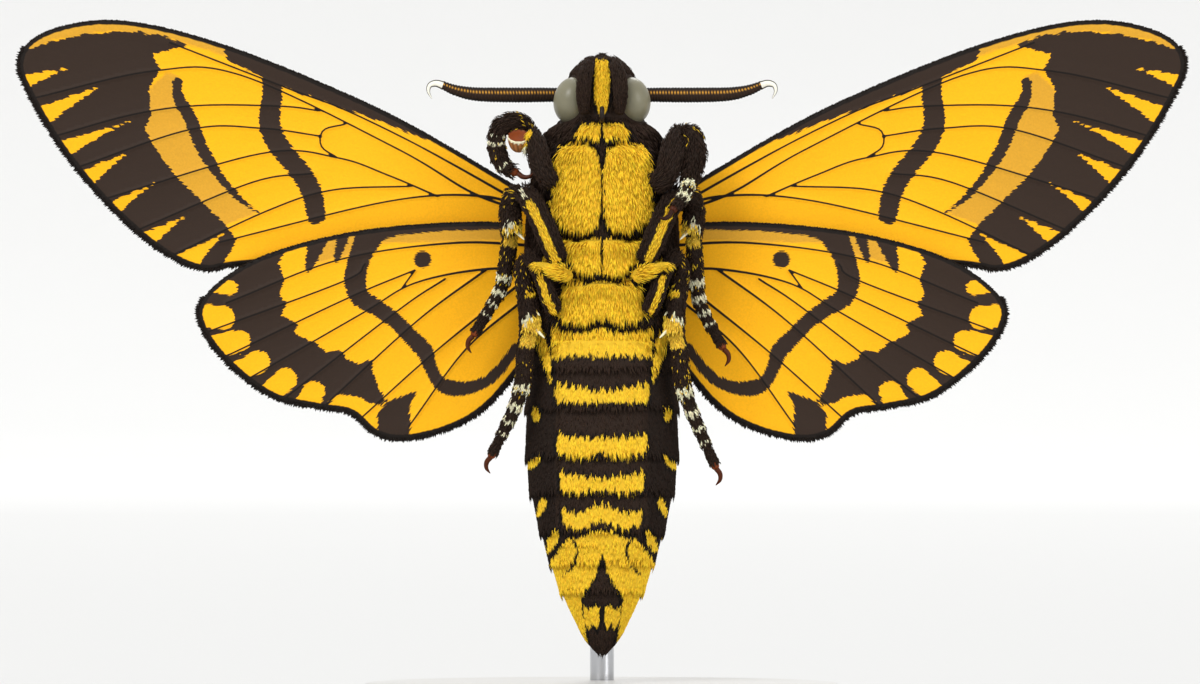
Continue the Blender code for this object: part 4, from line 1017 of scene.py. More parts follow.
def ring_share(z):
    """How far down its own ring of the abdomen each height lies, from 0 to 1, and 0 off the abdomen."""
    edges = np.array((0.0, *reversed(RING_EDGES), WAIST))
    i = np.clip(np.searchsorted(edges, z, side="right") - 1, 0, len(edges) - 2)
    share = (edges[i + 1] - z) / (edges[i + 1] - edges[i])
    return np.where(z < WAIST, np.clip(share, 0, 1), 0.0)


def body_colours(x, z, facing):
    """The coat's colour at places of the body. facing runs from -1 on the belly to 1 on the back."""
    yellow, dark, line, blue, cream = tones("body_yellow", "body_dark", "line", "blue_grey", "cream")
    across = np.abs(x)
    colours = np.tile(dark, (len(x), 1))
    belly = facing < 0.16 + 0.07 * np.sin(z * 7) + 0.05 * np.sin(z * 19)
    colours[belly & (z < WAIST) & (across > BELLY_PLATE[0])] = dark * 0.6
    depth = np.where(z > NECK, face_stripe(across, z), belly_yellow(across, z))
    colours[belly & (np.abs(depth + LINE_WIDTH / 2) < LINE_WIDTH / 2)] = line
    colours[belly & (depth > 0)] = yellow
    back = ~belly & (z < WAIST)
    ringed = ring_share(z)
    ring_teeth = 0.07 * np.sin(facing * 40) + 0.04 * np.sin(facing * 97 + z)
    flank = 0.2 + 0.32 * ((ringed - 0.42) / 0.33) ** 2 + 0.04 * np.sin(z * 23)
    inner, lowest, first, last = SIDE_YELLOW
    stretch = (ringed > first) & (ringed < last + ring_teeth)
    colours[back & (across > inner) & (z > lowest) & (facing > flank) & stretch] = yellow * 0.85
    half, share = BACK_STRIPE
    colours[back & (across < half) & (ringed < share)] = blue
    skull = inside_depth(np.column_stack([across, z]), SKULL)
    for x_hole, z_hole, radius in (SKULL_EYE, SKULL_NOSE):
        skull = soft_min(skull, np.hypot(across - x_hole, z - z_hole) - radius)
    colours[~belly & (skull > 0)] = cream * SKULL_TINT
    return colours


def body_relief(across, z, facing):
    """How far the skin stands out of the plain body, from its plates and rings."""
    p = np.column_stack([across, z])
    belly = np.clip(-facing * 3, 0, 1)
    rise = np.zeros(len(z))
    for shape, height, width in PLATE_RELIEF:
        depth = np.clip(inside_depth(p, shape) / width, 0, 1)
        rise = np.maximum(rise, height * np.sqrt(1 - (1 - depth) ** 2))
    height, width = FLARE_RELIEF
    rise = np.maximum(rise, height * np.clip(inside_depth(p, FLARE) / width, 0, 1))
    half, height = BELLY_PLATE
    plate = height * np.clip((half - across) / 0.6, 0, 1) * np.clip((z - 9.0) / 2, 0, 1)
    rise = np.where(z < WAIST, np.maximum(rise, plate), rise)
    rings = np.where(z < WAIST, RING_STEP * (ring_share(z) ** 1.5 - 0.5), 0.0)
    half, height = FACE_RIDGE
    face = np.where(z > NECK, height * np.clip(1 - across / half, 0, 1), 0.0)
    return (rise + face) * belly + rings


def body_surface(turn, z):
    """Points of the body's skin at angles and heights."""
    half, belly, back = np.maximum(body_at(z) - COAT_DEPTH, 0.02).T
    facing = np.sin(turn)
    relief = body_relief(np.abs(half * np.cos(turn)), z, facing)
    closing = np.clip((BODY_TOP - z) / 0.5, 0, 1) ** 0.5 * np.clip(z / 0.4, 0, 1) ** 0.5
    relief = relief * closing
    half, belly, back = (np.maximum(size * closing + relief, 0) for size in (half, belly, back))
    return half * np.cos(turn), np.where(facing < 0, belly, back) * facing, z


def make_body_skin():
    """One skin over abdomen, thorax and head."""

    def surface(u, v):
        turn = math.pi / 2 + u * FULL_TURN
        x, y, z = body_surface(turn, v * BODY_TOP)
        # painted shade: the skin takes the markings darker, for the gaps between the tufts
        return place(x, y, z), body_colours(x, z, np.sin(turn)) * SKIN_PAINTED_SHADE

    mesh = wrapped("body_skin", 176, 250, surface)
    new_piece("body_skin", mesh, "yellow_coat", coat_material(), replaces=("head", "thorax", "abdomen"))


# Tufts


def lock_template():
    """One tuft: a flat three-sided leaf of length one, as points (across, up, along) and triangles."""
    bm = bmesh.new()
    bmesh.ops.create_cone(bm, cap_ends=True, segments=3, radius1=1.0, radius2=1.0, depth=1.0)
    bmesh.ops.translate(bm, vec=(0, 0, 0.5), verts=bm.verts)
    every = [*bm.verts, *bm.edges, *bm.faces]
    bmesh.ops.bisect_plane(bm, geom=every, plane_co=(0, 0, 0.5), plane_no=(0, 0, 1))
    for v in bm.verts:
        width = 0.75 if v.co.z < 0.25 else 1.0 if v.co.z < 0.75 else 0.0
        v.co.x, v.co.y = v.co.x * width, v.co.y * width
    bmesh.ops.remove_doubles(bm, verts=bm.verts, dist=1e-4)
    bmesh.ops.triangulate(bm, faces=bm.faces)
    bmesh.ops.recalc_face_normals(bm, faces=bm.faces)
    points = np.array([v.co for v in bm.verts])
    faces = np.array([[v.index for v in f.verts] for f in bm.faces])
    bm.free()
    return points, faces


def make_coat(name, slot, tufts):
    """Joins tufts into one mesh, each with its colour and its patch of the OFBake map."""
    points, faces = lock_template()
    across, up, along = points.T
    roots, normals, lies = tufts["root"], unit(tufts["normal"]), tufts["lie"]
    lies = unit(lies - (lies * normals).sum(1, keepdims=True) * normals)
    sides = np.cross(lies, normals)
    length, width = tufts["length"][:, None], tufts["width"][:, None]
    lift = tufts["lift"][:, None]
    rise = (lift * along * (1.4 - along) / 0.4 - ROOT_SUNK)[..., None]
    place_along = (along * length)[..., None] * lies[:, None]
    place_up = (length[..., None] * rise + (up * width * TUFT_THICK)[..., None]) * normals[:, None]
    place_across = (across * width * 0.5)[..., None] * sides[:, None]
    corners = roots[:, None] + (place_along + place_up + place_across) * MM
    count, size = len(roots), len(points)
    mesh = bpy.data.meshes.new(name)
    every = (faces[None] + (np.arange(count) * size)[:, None, None]).reshape(-1, 3)
    mesh.from_pydata(corners.reshape(-1, 3), [], every)
    root_light, tip_light = TUFT_SHADING
    shading = root_light + tip_light * along
    colours = tufts["tint"][:, None] * shading[None, :, None]
    set_tint(mesh, np.clip(colours.reshape(-1, 3), 0, 1))
    patch = np.column_stack([across, along - 0.5]) * BAKE_PATCH
    spots = np.clip(tufts["spot"], 0.003, 0.997)[:, None] + patch[None]
    corner_vertices = np.empty(len(mesh.loops), np.int32)
    mesh.loops.foreach_get("vertex_index", corner_vertices)
    layer = mesh.uv_layers.new(name="OFBake")
    uv = spots.reshape(-1, 2)[corner_vertices]
    layer.data.foreach_set("uv", np.ascontiguousarray(uv, dtype=np.float32).ravel())
    mesh.shade_smooth()
    return new_piece(name, mesh, slot, coat_material())


def together(groups):
    """Several groups of tufts as one."""
    return {key: np.concatenate([group[key] for group in groups]) for key in groups[0]}


def tuft_sizes(rng, kind):
    """Random sizes of the tufts of a small coat."""
    count, *limits = SMALL_COATS[kind]
    return {key: rng.uniform(*pair, count) for key, pair in zip(("length", "width", "lift"), limits)}


def varied(tints, rng, spread=0.16):
    """Colours with a little difference in brightness and warmth from tuft to tuft."""
    light = 1 + spread * rng.uniform(-1, 1, (len(tints), 1))
    warmth = 1 + 0.06 * rng.uniform(-1, 1, (len(tints), 3))
    return tints * light * warmth


def body_tufts(rng, count, low, high, sides):
    """Tufts spread evenly over a stretch of the body, on the belly (-1), the back (1) or both (0)."""
    settings = bpy.context.scene.hawkmoth_coat
    count = int(count * settings.density)
    z = rng.uniform(low, high, count * 3)
    turn = rng.uniform(-math.pi, math.pi, len(z))
    keep = rng.uniform(0, WIDEST, len(z)) < body_at(z)[:, 0]
    if sides:
        keep &= np.sin(turn) * sides > -0.12
    z, turn = z[keep][:count], turn[keep][:count]
    here = np.column_stack(body_surface(turn, z))
    below = np.column_stack(body_surface(turn, z - 0.05))
    beside = np.column_stack(body_surface(turn + 0.02, z))
    down = unit(below - here)
    normal = unit(np.cross(beside - here, here - below))
    outward = np.column_stack([np.cos(turn), np.sin(turn), np.zeros(len(z))])
    normal *= np.sign((normal * outward).sum(1, keepdims=True) + 1e-9)
    facing = np.sin(turn)
    side = np.abs(np.cos(turn))
    ringed = ring_share(z)
    part = [z > NECK, z > WAIST]
    length = np.select(part, [0.65, 1.0 + 0.8 * side], 0.8 + 0.5 * np.clip(ringed - 0.6, 0, 1))
    length = np.where(facing > 0, length * BACK_LENGTH, length)
    width = np.select(part, TUFT_WIDTHS[:2], TUFT_WIDTHS[2])
    lift = np.select(part, [0.2, 0.1 + 0.06 * side], 0.06 + 0.1 * np.clip(ringed - 0.7, 0, 1))
    sideways = np.zeros((len(z), 3))
    sideways[:, 0] = np.sign(here[:, 0])
    lie = down + 0.25 * sideways * np.clip(np.abs(here[:, :1]) / 5, 0, 1)
    head = z > NECK + 0.4
    lie[head] = -down[head] + 0.8 * outward[head]
    lie = unit(lie + rng.normal(0, 0.14, lie.shape))
    length = length * settings.length * rng.uniform(0.8, 1.2, len(z))
    tip = here + lie * (length * TIP_SHARE)[:, None]
    tint = body_colours(tip[:, 0], tip[:, 2], facing)
    frosted = (facing > 0.2) & (z > WAIST) & (tint[:, 0] < 0.1) & (rng.uniform(0, 1, len(z)) < FROSTING)
    tint[frosted] = tones("blue_grey")[0] * 0.8
    return {
        "root": place(*here.T),
        "normal": normal,
        "lie": lie,
        "length": length,
        "width": width * rng.uniform(0.8, 1.25, len(z)),
        "lift": lift * rng.uniform(0.5, 1.5, len(z)),
        "tint": varied(tint, rng),
        "spot": np.column_stack([(turn / FULL_TURN) % 1.0, z / BODY_TOP]),
    }


def clear_of_eyes(tufts):
    """Leaves out the tufts that would grow through an eye."""
    keep = np.ones(len(tufts["root"]), bool)
    for name in SIDES:
        low, high = (np.array(corner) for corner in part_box("eye_" + name))
        away = (tufts["root"] - (low + high) / 2) / ((high - low) / 2)
        keep &= np.linalg.norm(away, axis=1) > SOCKET_SIZE
    return {key: value[keep] for key, value in tufts.items()}


def make_body_coat():
    """The coat of abdomen, thorax and head."""
    rng = np.random.default_rng(BODY_SEED)
    for name, count, low, high, sides in BODY_COATS:
        make_coat(name, "yellow_coat", body_tufts(rng, count, low, high, sides))
    head = body_tufts(rng, HEAD_TUFTS, NECK - 0.3, BODY_TOP - 0.1, 0)
    make_coat("coat_head", "dark_coat", clear_of_eyes(head))


# Wings


def wing_plan(kind):
    """The wing's outline and vein lines as points, and the points and edges that its mesh keeps."""
    shape = WINGS[kind]
    ring = closed(shape["outline"])
    edge = through(ring, int(length_of(ring) / WING_STEP))[:-1]
    points, edges = [*edge], [(i, (i + 1) % len(edge)) for i in range(len(edge))]
    lines = []
    for vein in shape["veins"]:
        line = through(vein, max(4, int(length_of(vein) / (WING_STEP * 1.2))))
        lines.append(line)
        side = beside(line) * VEIN_HALF_WIDTH
        for strand in (line, line + side, line - side):
            edges += [(len(points) + i, len(points) + i + 1) for i in range(len(strand) - 1)]
            points += [*strand]
    low, high = edge.min(0), edge.max(0)
    rows = []
    for i, z in enumerate(np.arange(low[1], high[1], WING_STEP * ROW_STEP)):
        x = np.arange(low[0] + (i % 2) * WING_STEP / 2, high[0], WING_STEP)
        rows.append(np.column_stack([x, np.full(len(x), z)]))
    fill = np.vstack(rows)
    fill = fill[inside_depth(fill, edge) > WING_STEP * 0.45]
    veins = soft_min(*[line_distance(fill, line) for line in lines])
    fill = fill[veins > VEIN_HALF_WIDTH + WING_STEP * 0.35]
    return edge, lines, [*points, *fill], edges


def wing_mesh(kind, name, side):
    """A thin closed sheet with raised veins, and the depths of its markings on both faces."""
    edge, lines, points, edges = wing_plan(kind)
    flat, _, faces, *_ = geometry.delaunay_2d_cdt(
        [Vector(p) for p in points], edges, [list(range(len(edge)))], 1, 1e-4
    )
    bm = bmesh.new()
    corners = [bm.verts.new((p.x, 0.0, p.y)) for p in flat]
    for face in faces:
        bm.faces.new([corners[i] for i in face])
    made = bmesh.ops.extrude_face_region(bm, geom=list(bm.faces), use_keep_orig=True)["geom"]
    bmesh.ops.translate(bm, vec=(0, 1, 0), verts=only_vertices(made))
    bmesh.ops.recalc_face_normals(bm, faces=bm.faces)
    mesh = mesh_from(bm, name)
    x, upper, z = positions(mesh).T
    p = np.column_stack([x, z])
    is_upper = upper > 0.5
    vein = soft_min(*[line_distance(p, line) for line in lines])
    to_edge = line_distance(p, closed(edge))
    ridge = np.clip(1 - vein / VEIN_HALF_WIDTH, 0, 1) * np.clip(to_edge / 1.2, 0, 1)
    bulge = PLEAT * np.clip(vein / 1.5, 0, 1) ** 0.7 * np.clip(to_edge / 2.0, 0, 1)
    sign = np.where(is_upper, 1.0, -1.0)
    rise = np.where(is_upper, VEIN_RISE["upper"], VEIN_RISE["under"])
    thick = MEMBRANE / 2 * np.clip(to_edge / 0.6, 0.35, 1)
    y = wing_y(kind, x, z) + bulge + sign * (thick + ridge * rise)
    set_positions(mesh, place(x * side, y, z))
    dark, gold = (np.empty(len(x)) for _ in range(2))
    for face, chosen in (("under", ~is_upper), ("upper", is_upper)):
        dark[chosen], gold[chosen] = WING_MARKS[kind, face](p[chosen])
    root_x, root_z = WING_ROOT[kind]
    reach, turn = np.hypot(x - root_x, z - root_z), np.arctan2(z - root_z, x - root_x)
    set_number(mesh, "dark", dark)
    set_number(mesh, "gold", gold)
    set_number(mesh, "vein", np.clip(vein, 0, 1) - 0.09 * np.clip(1 - reach / 15, 0, 1))
    set_number(mesh, "edge", to_edge + np.where(x < ROOT_X + 0.5, 2.0, 0.0))
    layer = mesh.attributes.new("rows", "FLOAT_VECTOR", "POINT")
    rows = np.column_stack([reach * 0.8, turn * ROW_COUNT + 10 * is_upper, np.zeros(len(x))])
    layer.data.foreach_set("vector", np.ascontiguousarray(rows, dtype=np.float32).ravel())
    corner = np.empty(len(mesh.polygons), np.int32)
    mesh.polygons.foreach_get("loop_start", corner)
    vertex = np.empty(len(mesh.loops), np.int32)
    mesh.loops.foreach_get("vertex_index", vertex)
    mesh.polygons.foreach_set("material_index", is_upper[vertex[corner]].astype(np.int32))
    return outwards(mesh)


def make_wings():
    """The four wings."""
    yellow, dark, ochre = tones("wing_yellow", "wing_dark", "ochre")
    brown, line, cream = tones("upper", "line", "cream")
    under = wing_material("wing_underside", yellow, dark, ochre, (1.0, 0.9, 0.6))
    uppers = {
        "forewing": wing_material("forewing_upper", brown, line, cream * 0.42, (4.5, 3.6, 2.6), 3.5),
        "hindwing": wing_material("hindwing_upper", yellow * 0.9, dark, ochre, (1.0, 0.85, 0.6)),
    }
    for name, side in SIDES.items():
        for kind, upper in uppers.items():
            node = f"{kind}_{name}"
            sheet = wing_mesh(kind, node, side)
            new_piece(f"{kind}_sheet_{name}", sheet, "wing_scales", under, upper, replaces=(node,))


def make_fringe():
    """Short dark scales that stand out along each wing's margin."""
    rng = np.random.default_rng(FRINGE_SEED)
    (colour,) = tones("line")
    for name, side in SIDES.items():
        groups = []
        for kind, shape in WINGS.items():
            ring = closed(shape["outline"])
            line = through(ring, int(length_of(ring) / FRINGE_STEP))
            line = line[line[:, 0] > ROOT_X]
            out = beside(line)
            x, z = (line - out * FRINGE_ROOT).T
            y = wing_y(kind, x, z) + rng.uniform(-0.06, 0.06, len(x))
            away = unit(line - np.array([WING_ROOT[kind]]))
            lie = unit(out + 0.5 * away + rng.normal(0, 0.12, out.shape))
            leading = np.clip(1.0 - (out[:, 1] > 0.6) * 0.6, 0.4, 1.0)
            groups.append(
                {
                    "root": place(x * side, y, z),
                    "normal": np.tile(FORWARDS, (len(x), 1)),
                    "lie": np.column_stack([lie[:, 0] * side, np.zeros(len(x)), lie[:, 1]]),
                    "length": FRINGE_LENGTH * leading * rng.uniform(0.7, 1.2, len(x)),
                    "width": FRINGE_WIDTH * rng.uniform(0.8, 1.2, len(x)),
                    "lift": rng.uniform(-0.05, 0.08, len(x)),
                    "tint": varied(np.tile(colour * 1.3, (len(x), 1)), rng, 0.3),
                    "spot": np.column_stack([x / 62 * 0.5 + (0.5 if side > 0 else 0.0), z / 66]),
                }
            )
        make_coat("fringe_" + name, "wing_scales", together(groups))


# Round limbs


def limb_frame(path, share):
    """Centres and three directions of a limb at shares of its length: along, facing forwards, and aside."""
    run = np.linspace(0, 1, len(path))
    slope = np.gradient(path, axis=0)
    centre = np.column_stack([np.interp(share, run, column) for column in path.T])
    along = unit(np.column_stack([np.interp(share, run, column) for column in slope.T]))
    ahead = np.tile(FORWARDS, (len(share), 1))
    ahead = unit(ahead - (ahead * along).sum(1, keepdims=True) * along + 1e-6)
    return centre, along, ahead, np.cross(along, ahead)


def limb_points(path, radii, share, turn):
    """Points on a round limb and their outward directions, with turn 0 facing the belly side."""
    centre, along, ahead, aside = limb_frame(path, share)
    out = np.cos(turn)[:, None] * ahead + np.sin(turn)[:, None] * aside
    return centre + out * radii_at(share, radii)[:, None], out, along


def limb_mesh(name, path, radii, colour_at, around=28, step=0.12):
    """A closed round limb with rounded ends. colour_at(share, turn) gives the colours."""
    total = length_of(path)
    rounding = min(radii[0], radii[-1], total / 3) / total

    def surface(u, share):
        turn = u * FULL_TURN
        points, *_ = limb_points(path, radii, share, turn)
        centre, *_ = limb_frame(path, share)
        near_end = np.clip(np.minimum(share, 1 - share) / rounding, 0, 1)
        points = centre + (points - centre) * np.sqrt(1 - (1 - near_end) ** 2)[:, None]
        return place(*points.T), colour_at(share, turn)

    return wrapped(name, around, max(10, int(total / step)), surface)


def limb_spots(order, count, share, turn):
    """Places on the OFBake map, which several limbs share side by side."""
    return np.column_stack([(order + 0.1 + 0.8 * share) / count, turn / FULL_TURN + 0.5])


def evenly(colour):
    """One colour for the whole of a limb."""
    return lambda share, turn: np.tile(colour, (len(share), 1))


def radii_at(share, radii):
    """Radii at shares of a length, between evenly spread given ones."""
    return np.interp(share, np.linspace(0, 1, len(radii)), radii)


def leg_path(leg, name, part, count):
    """The centre line and radii of one part of a leg, out to the tips of its coat."""
    points, radii = LEGS.get((leg, name, part)) or LEGS[(leg, "both", part)]
    x, z, extra = np.array(points).T
    radii = np.array(radii)
    half, belly, _ = (body_at(z) + (radii + LEG_CLEARANCE)[:, None]).T
    rest = np.clip(1.0 - (x / half) ** 2, 0, 1)
    y = -belly * np.sqrt(rest) - extra
    run = through(np.column_stack([x * SIDES[name], y, z, radii]), count)
    return run[:, :3], run[:, 3]


def leg_colours(leg, name, part, share, turn, side):
    """The coat's colour on one part of a leg."""
    yellow, dark, cream = tones("body_yellow", "body_dark", "cream")
    colours = np.tile(dark, (len(share), 1))
    front, inner = np.cos(turn), np.sin(turn) * side
    wave = 0.008 * np.sin(turn * 5 + share * 9) + 0.005 * np.sin(turn * 11)
    if part == "tarsus":
        points, _ = leg_path(leg, name, part, 20)
        for at, half in FOOT_MARKS[leg, name]:
            ragged = half * (0.75 + 0.5 * np.sin(turn * 7 + at * 20))
            colours[(np.abs(share - at - wave) * length_of(points) < ragged) & (front > -0.3)] = cream
    if leg != "foreleg" and part != "femur":
        start, end = KNEE_PATCH[leg]
        band = share + 4 * wave
        patch = band > start if part == "tibia" else share + wave < end
        patch &= (front > -0.3) & (inner > -0.8)
        colours[patch] = yellow * 0.95 + cream * 0.05
        colours[patch & (part == "tibia") & (band < start + 0.07) & (inner < 0.3)] = cream
    if leg == "hindleg" and part == "tibia":
        colours[(np.abs(share - SHIN_RING - 2 * wave) < 0.04) & (front > 0) & (inner > -0.1)] = yellow
    if leg == "midleg" and part == "femur":
        for at, across in KNEE_DOTS:
            colours[(np.abs(share - at) < 0.03) & (np.abs(inner - across) < 0.2) & (front > 0)] = cream
    if leg in THIGH_STRIPE and part == "femur":
        start, end = THIGH_STRIPE[leg]
        colours[(front > 0.25) & (np.abs(inner - 0.25) < 0.42) & (share > start) & (share < end)] = yellow
    return colours


def leg_parts(leg, name):
    """The three parts of a leg with their centre lines and skin radii."""
    for part, count in LEG_PARTS.items():
        path, radii = leg_path(leg, name, part, count)
        radii = radii - LEG_COAT + LEG_PLUMP.get((leg, name, part), 0.0)
        if part == "tarsus":
            share = np.linspace(0, 1, count)
            edges = (0.0, *TARSOMERES[leg], 1.0)
            for low, high in zip(edges, edges[1:]):
                inside = (share > low) & (share <= high)
                radii[inside] += SEGMENT_FLARE * ((share[inside] - low) / (high - low) - 0.6)
        yield part, path, radii


def make_legs():
    """Six legs, each one piece over femur, tibia and foot."""
    for leg in TARSOMERES:
        for name, side in SIDES.items():
            meshes = []
            for part, path, radii in leg_parts(leg, name):

                def colour_at(share, turn):
                    # painted shade: the leg's skin is darker than its coat, for the gaps between the tufts
                    return leg_colours(leg, name, part, share, turn, side) * LIMB_PAINTED_SHADE

                meshes.append(limb_mesh("limb", path, radii, colour_at))
            mesh = joined(f"{leg}_skin_{name}", meshes)
            nodes = [f"{leg}_{name}_{part}" for part in LEG_PARTS]
            new_piece(f"{leg}_skin_{name}", mesh, "dark_coat", coat_material(), replaces=nodes)


def leg_tufts(rng, leg, name, order):
    """Short scales on the three parts of a leg."""
    settings = bpy.context.scene.hawkmoth_coat
    groups = []
    for index, (part, path, radii) in enumerate(leg_parts(leg, name)):
        total = length_of(path)
        count = int(total * LEG_TUFTS * settings.density)
        share, turn = rng.uniform(0.0, 0.99, count), rng.uniform(-math.pi, math.pi, count)
        points, out, along = limb_points(path, radii, share, turn)
        long = LEG_HAIR["foot" if part == "tarsus" else leg] * rng.uniform(0.7, 1.3, count)
        tip = np.clip(share + long * TIP_SHARE / total, 0, 1)
        colours = leg_colours(leg, name, part, tip, turn, SIDES[name])
        if part != "femur":
            flecks = (rng.uniform(0, 1, count) < FLECK_SHARE) & (share < 0.5)
            colours[flecks] = tones("body_yellow")[0] * 0.85
        groups.append(
            {
                "root": place(*points.T),
                "normal": out,
                "lie": along + rng.normal(0, 0.16, along.shape),
                "length": long * settings.length,
                "width": LEG_HAIR["width"] * rng.uniform(0.8, 1.3, count),
                "lift": rng.uniform(0.1, 0.34, count),
                "tint": varied(colours, rng, 0.2),
                "spot": limb_spots(order, 6, (index + share) / len(LEG_PARTS), turn),
            }
        )
    return together(groups)


def make_leg_coat():
    """The coat of the legs, one piece for each pair."""
    rng = np.random.default_rng(LEG_SEED)
    for order, leg in enumerate(TARSOMERES):
        pair = [leg_tufts(rng, leg, name, order * 2 + i) for i, name in enumerate(SIDES)]
        make_coat(f"coat_{leg}s", "dark_coat", together(pair))


def claw_meshes(leg, name):
    """Pretarsus, two claws and the spurs of one leg."""
    side = SIDES[name]
    horn, cream = tones("claw", "cream")
    if (leg, name) in DARK_FEET:
        horn = horn * 0.3
    path, _ = leg_path(leg, name, "tarsus", 15)
    end = path[-1]
    along = (end - path[-3]) / np.linalg.norm(end - path[-3])
    across = np.array([along[2], 0.0, -along[0]]) * side
    if across[0] * side > 0:
        across = -across
    foot = through([end - along * 0.8, end + along * 0.15, end + along * 0.6], 8)
    yield limb_mesh("foot", foot, np.full(8, PRETARSUS_RADIUS), evenly(horn * 1.1), 16, 0.08)
    root = end + along * 0.45
    radii = radii_at(np.linspace(0, 1, 14), CLAW_RADII)
    for spread in (-CLAW_SPREAD, CLAW_SPREAD):
        points = [root - across * a + along * b + np.array([0, spread, 0]) for a, b in CLAW_CURL]
        yield limb_mesh("claw", through(points, 14), radii, evenly(horn * 0.4), 14, 0.07)
    shin, _ = leg_path(leg, name, "tibia", 9)
    radii = SPUR_RADIUS * np.sqrt(np.linspace(1, 0.02, 10))
    for share, length in SPURS.get(leg, ()):
        root = shin[round(share * (len(shin) - 1))]
        tip = root + SPUR_WAY * (side, 1.0, 1.0) * (length * 0.6 + 0.8)
        line = through([root, (root + tip) / 2, tip], 10)
        yield limb_mesh("spur", line, radii, evenly(cream * 0.9), 12, 0.08)


def make_pad():
    """The cup-shaped pad inside the curled foreleg, with its fringe of yellow hair."""
    horn, cream, yellow = tones("claw", "cream", "body_yellow")
    tilt = math.radians(PAD_TILT)
    axis = np.array([0.0, -math.sin(tilt), math.cos(tilt)])
    back = np.array([0.0, math.cos(tilt), math.sin(tilt)])
    rows = through(PAD_PROFILE, 60)

    def surface(u, v):
        turn = u * FULL_TURN
        radius, height = (radii_at(v, column) for column in rows.T)
        around = np.cos(turn)[:, None] * np.array([1.0, 0.0, 0.0]) + np.sin(turn)[:, None] * back
        points = PAD_CENTRE + around * radius[:, None] + axis * height[:, None]
        rim_end = PAD_DISH + 0.02 * np.sin(turn * 11) + 0.015 * np.sin(turn * 29)
        rim_start = PAD_RIM + 0.035 * np.sin(turn) + 0.03 * np.sin(turn * 17)
        dish, rim = v > rim_end, (v > rim_start) & (v <= rim_end)
        # painted light and shade: the smooth outside is made lighter and darker in stripes that stand for
        # folds
        fold = 0.8 + 0.35 * np.sin(turn * 14 + 6 * v)
        outside = np.array(shade(*PAD_OUTSIDE)) * fold[:, None]
        lip = np.where((np.sin(turn) > 0.1)[:, None], horn * 0.35, cream * 0.9)
        return place(*points.T), np.where(dish[:, None], horn * 1.15, np.where(rim[:, None], lip, outside))

    mesh = wrapped("foreleg_pad", 48, 60, surface)
    new_piece("foreleg_pad_right", mesh, "dark_coat", coat_variant("horn", HORN_ROUGHNESS))
    rng = np.random.default_rng(PAD_SEED)
    count = SMALL_COATS["pad"][0]
    step = rng.uniform(0, 1, count)
    start, run, lie = PAD_HAIR
    root = np.array(start) + step[:, None] * run
    root += rng.normal(0, 0.1, root.shape)
    tufts = {
        "root": place(*root.T),
        "normal": np.tile(FORWARDS, (count, 1)),
        "lie": lie + rng.normal(0, 0.15, root.shape),
        **tuft_sizes(rng, "pad"),
        "tint": varied(np.where((step < 0.75)[:, None], yellow, cream), rng),
        "spot": np.column_stack([0.2 + 0.6 * step, rng.uniform(0.1, 0.9, count)]),
    }
    make_coat("coat_foreleg_pad", "dark_coat", tufts)


def make_leaves():
    """The two leaf-shaped bundles of yellow scales across the roots of the hindlegs."""
    rng = np.random.default_rng(LEAF_SEED)
    yellow, line = tones("body_yellow", "line")
    lean, spin = math.radians(LEAF["lean"]), math.radians(LEAF["turn"])
    along = np.array([math.cos(lean) * math.cos(spin), -math.sin(spin), math.sin(lean)])
    ahead = FORWARDS + along * along[1]
    ahead /= np.linalg.norm(ahead)
    upward = np.cross(along, ahead)
    centre, size = np.array(LEAF["centre"]), np.array(LEAF["size"])
    groups = []
    for order, (name, side) in enumerate(SIDES.items()):
        mirror = np.array([side, 1.0, 1.0])

        def leaf_at(turn, tip):
            way = np.column_stack([np.sin(tip), np.cos(turn) * np.cos(tip), np.sin(turn) * np.cos(tip)])
            thin = way * size * np.column_stack([np.ones(len(tip)), *[1 - 0.35 * np.sin(tip)] * 2])
            spread = thin[:, :1] * along + thin[:, 1:2] * ahead + thin[:, 2:] * upward
            return (centre + spread) * mirror

        def surface(u, v):
            points = leaf_at(u * FULL_TURN, (v - 0.5) * math.pi)
            # painted shade: the leaf's skin is darker than its coat, for the gaps between the tufts
            return place(*points.T), np.tile(yellow * LIMB_PAINTED_SHADE, (len(u), 1))

        mesh = wrapped("leaf", 28, 36, surface)
        new_piece(f"belly_leaf_{name}", mesh, "yellow_coat", coat_material())
        count = SMALL_COATS["leaf"][0]
        turn, tip = rng.uniform(-math.pi, math.pi, count), np.arcsin(rng.uniform(-1, 0.98, count))
        root = leaf_at(turn, tip)
        dark_edge = np.abs(np.sin(turn)) > 0.93
        groups.append(
            {
                "root": place(*root.T),
                "normal": (root - centre * mirror) / size,
                "lie": np.tile(along * mirror, (count, 1)) + rng.normal(0, 0.12, root.shape),
                **tuft_sizes(rng, "leaf"),
                "tint": varied(np.where(dark_edge[:, None], line * 1.5, yellow), rng),
                "spot": limb_spots(order, 2, (1 + np.sin(tip)) / 2, turn),
            }
        )
    make_coat("coat_leaves", "yellow_coat", together(groups))


def make_claws():
    """Claws and spurs of all the legs."""
    for leg in TARSOMERES:
        for name in SIDES:
            mesh = joined(f"claws_{leg}_{name}", list(claw_meshes(leg, name)))
            new_piece(f"claws_{leg}_{name}", mesh, "dark_coat", coat_variant("horn", HORN_ROUGHNESS))


# Head


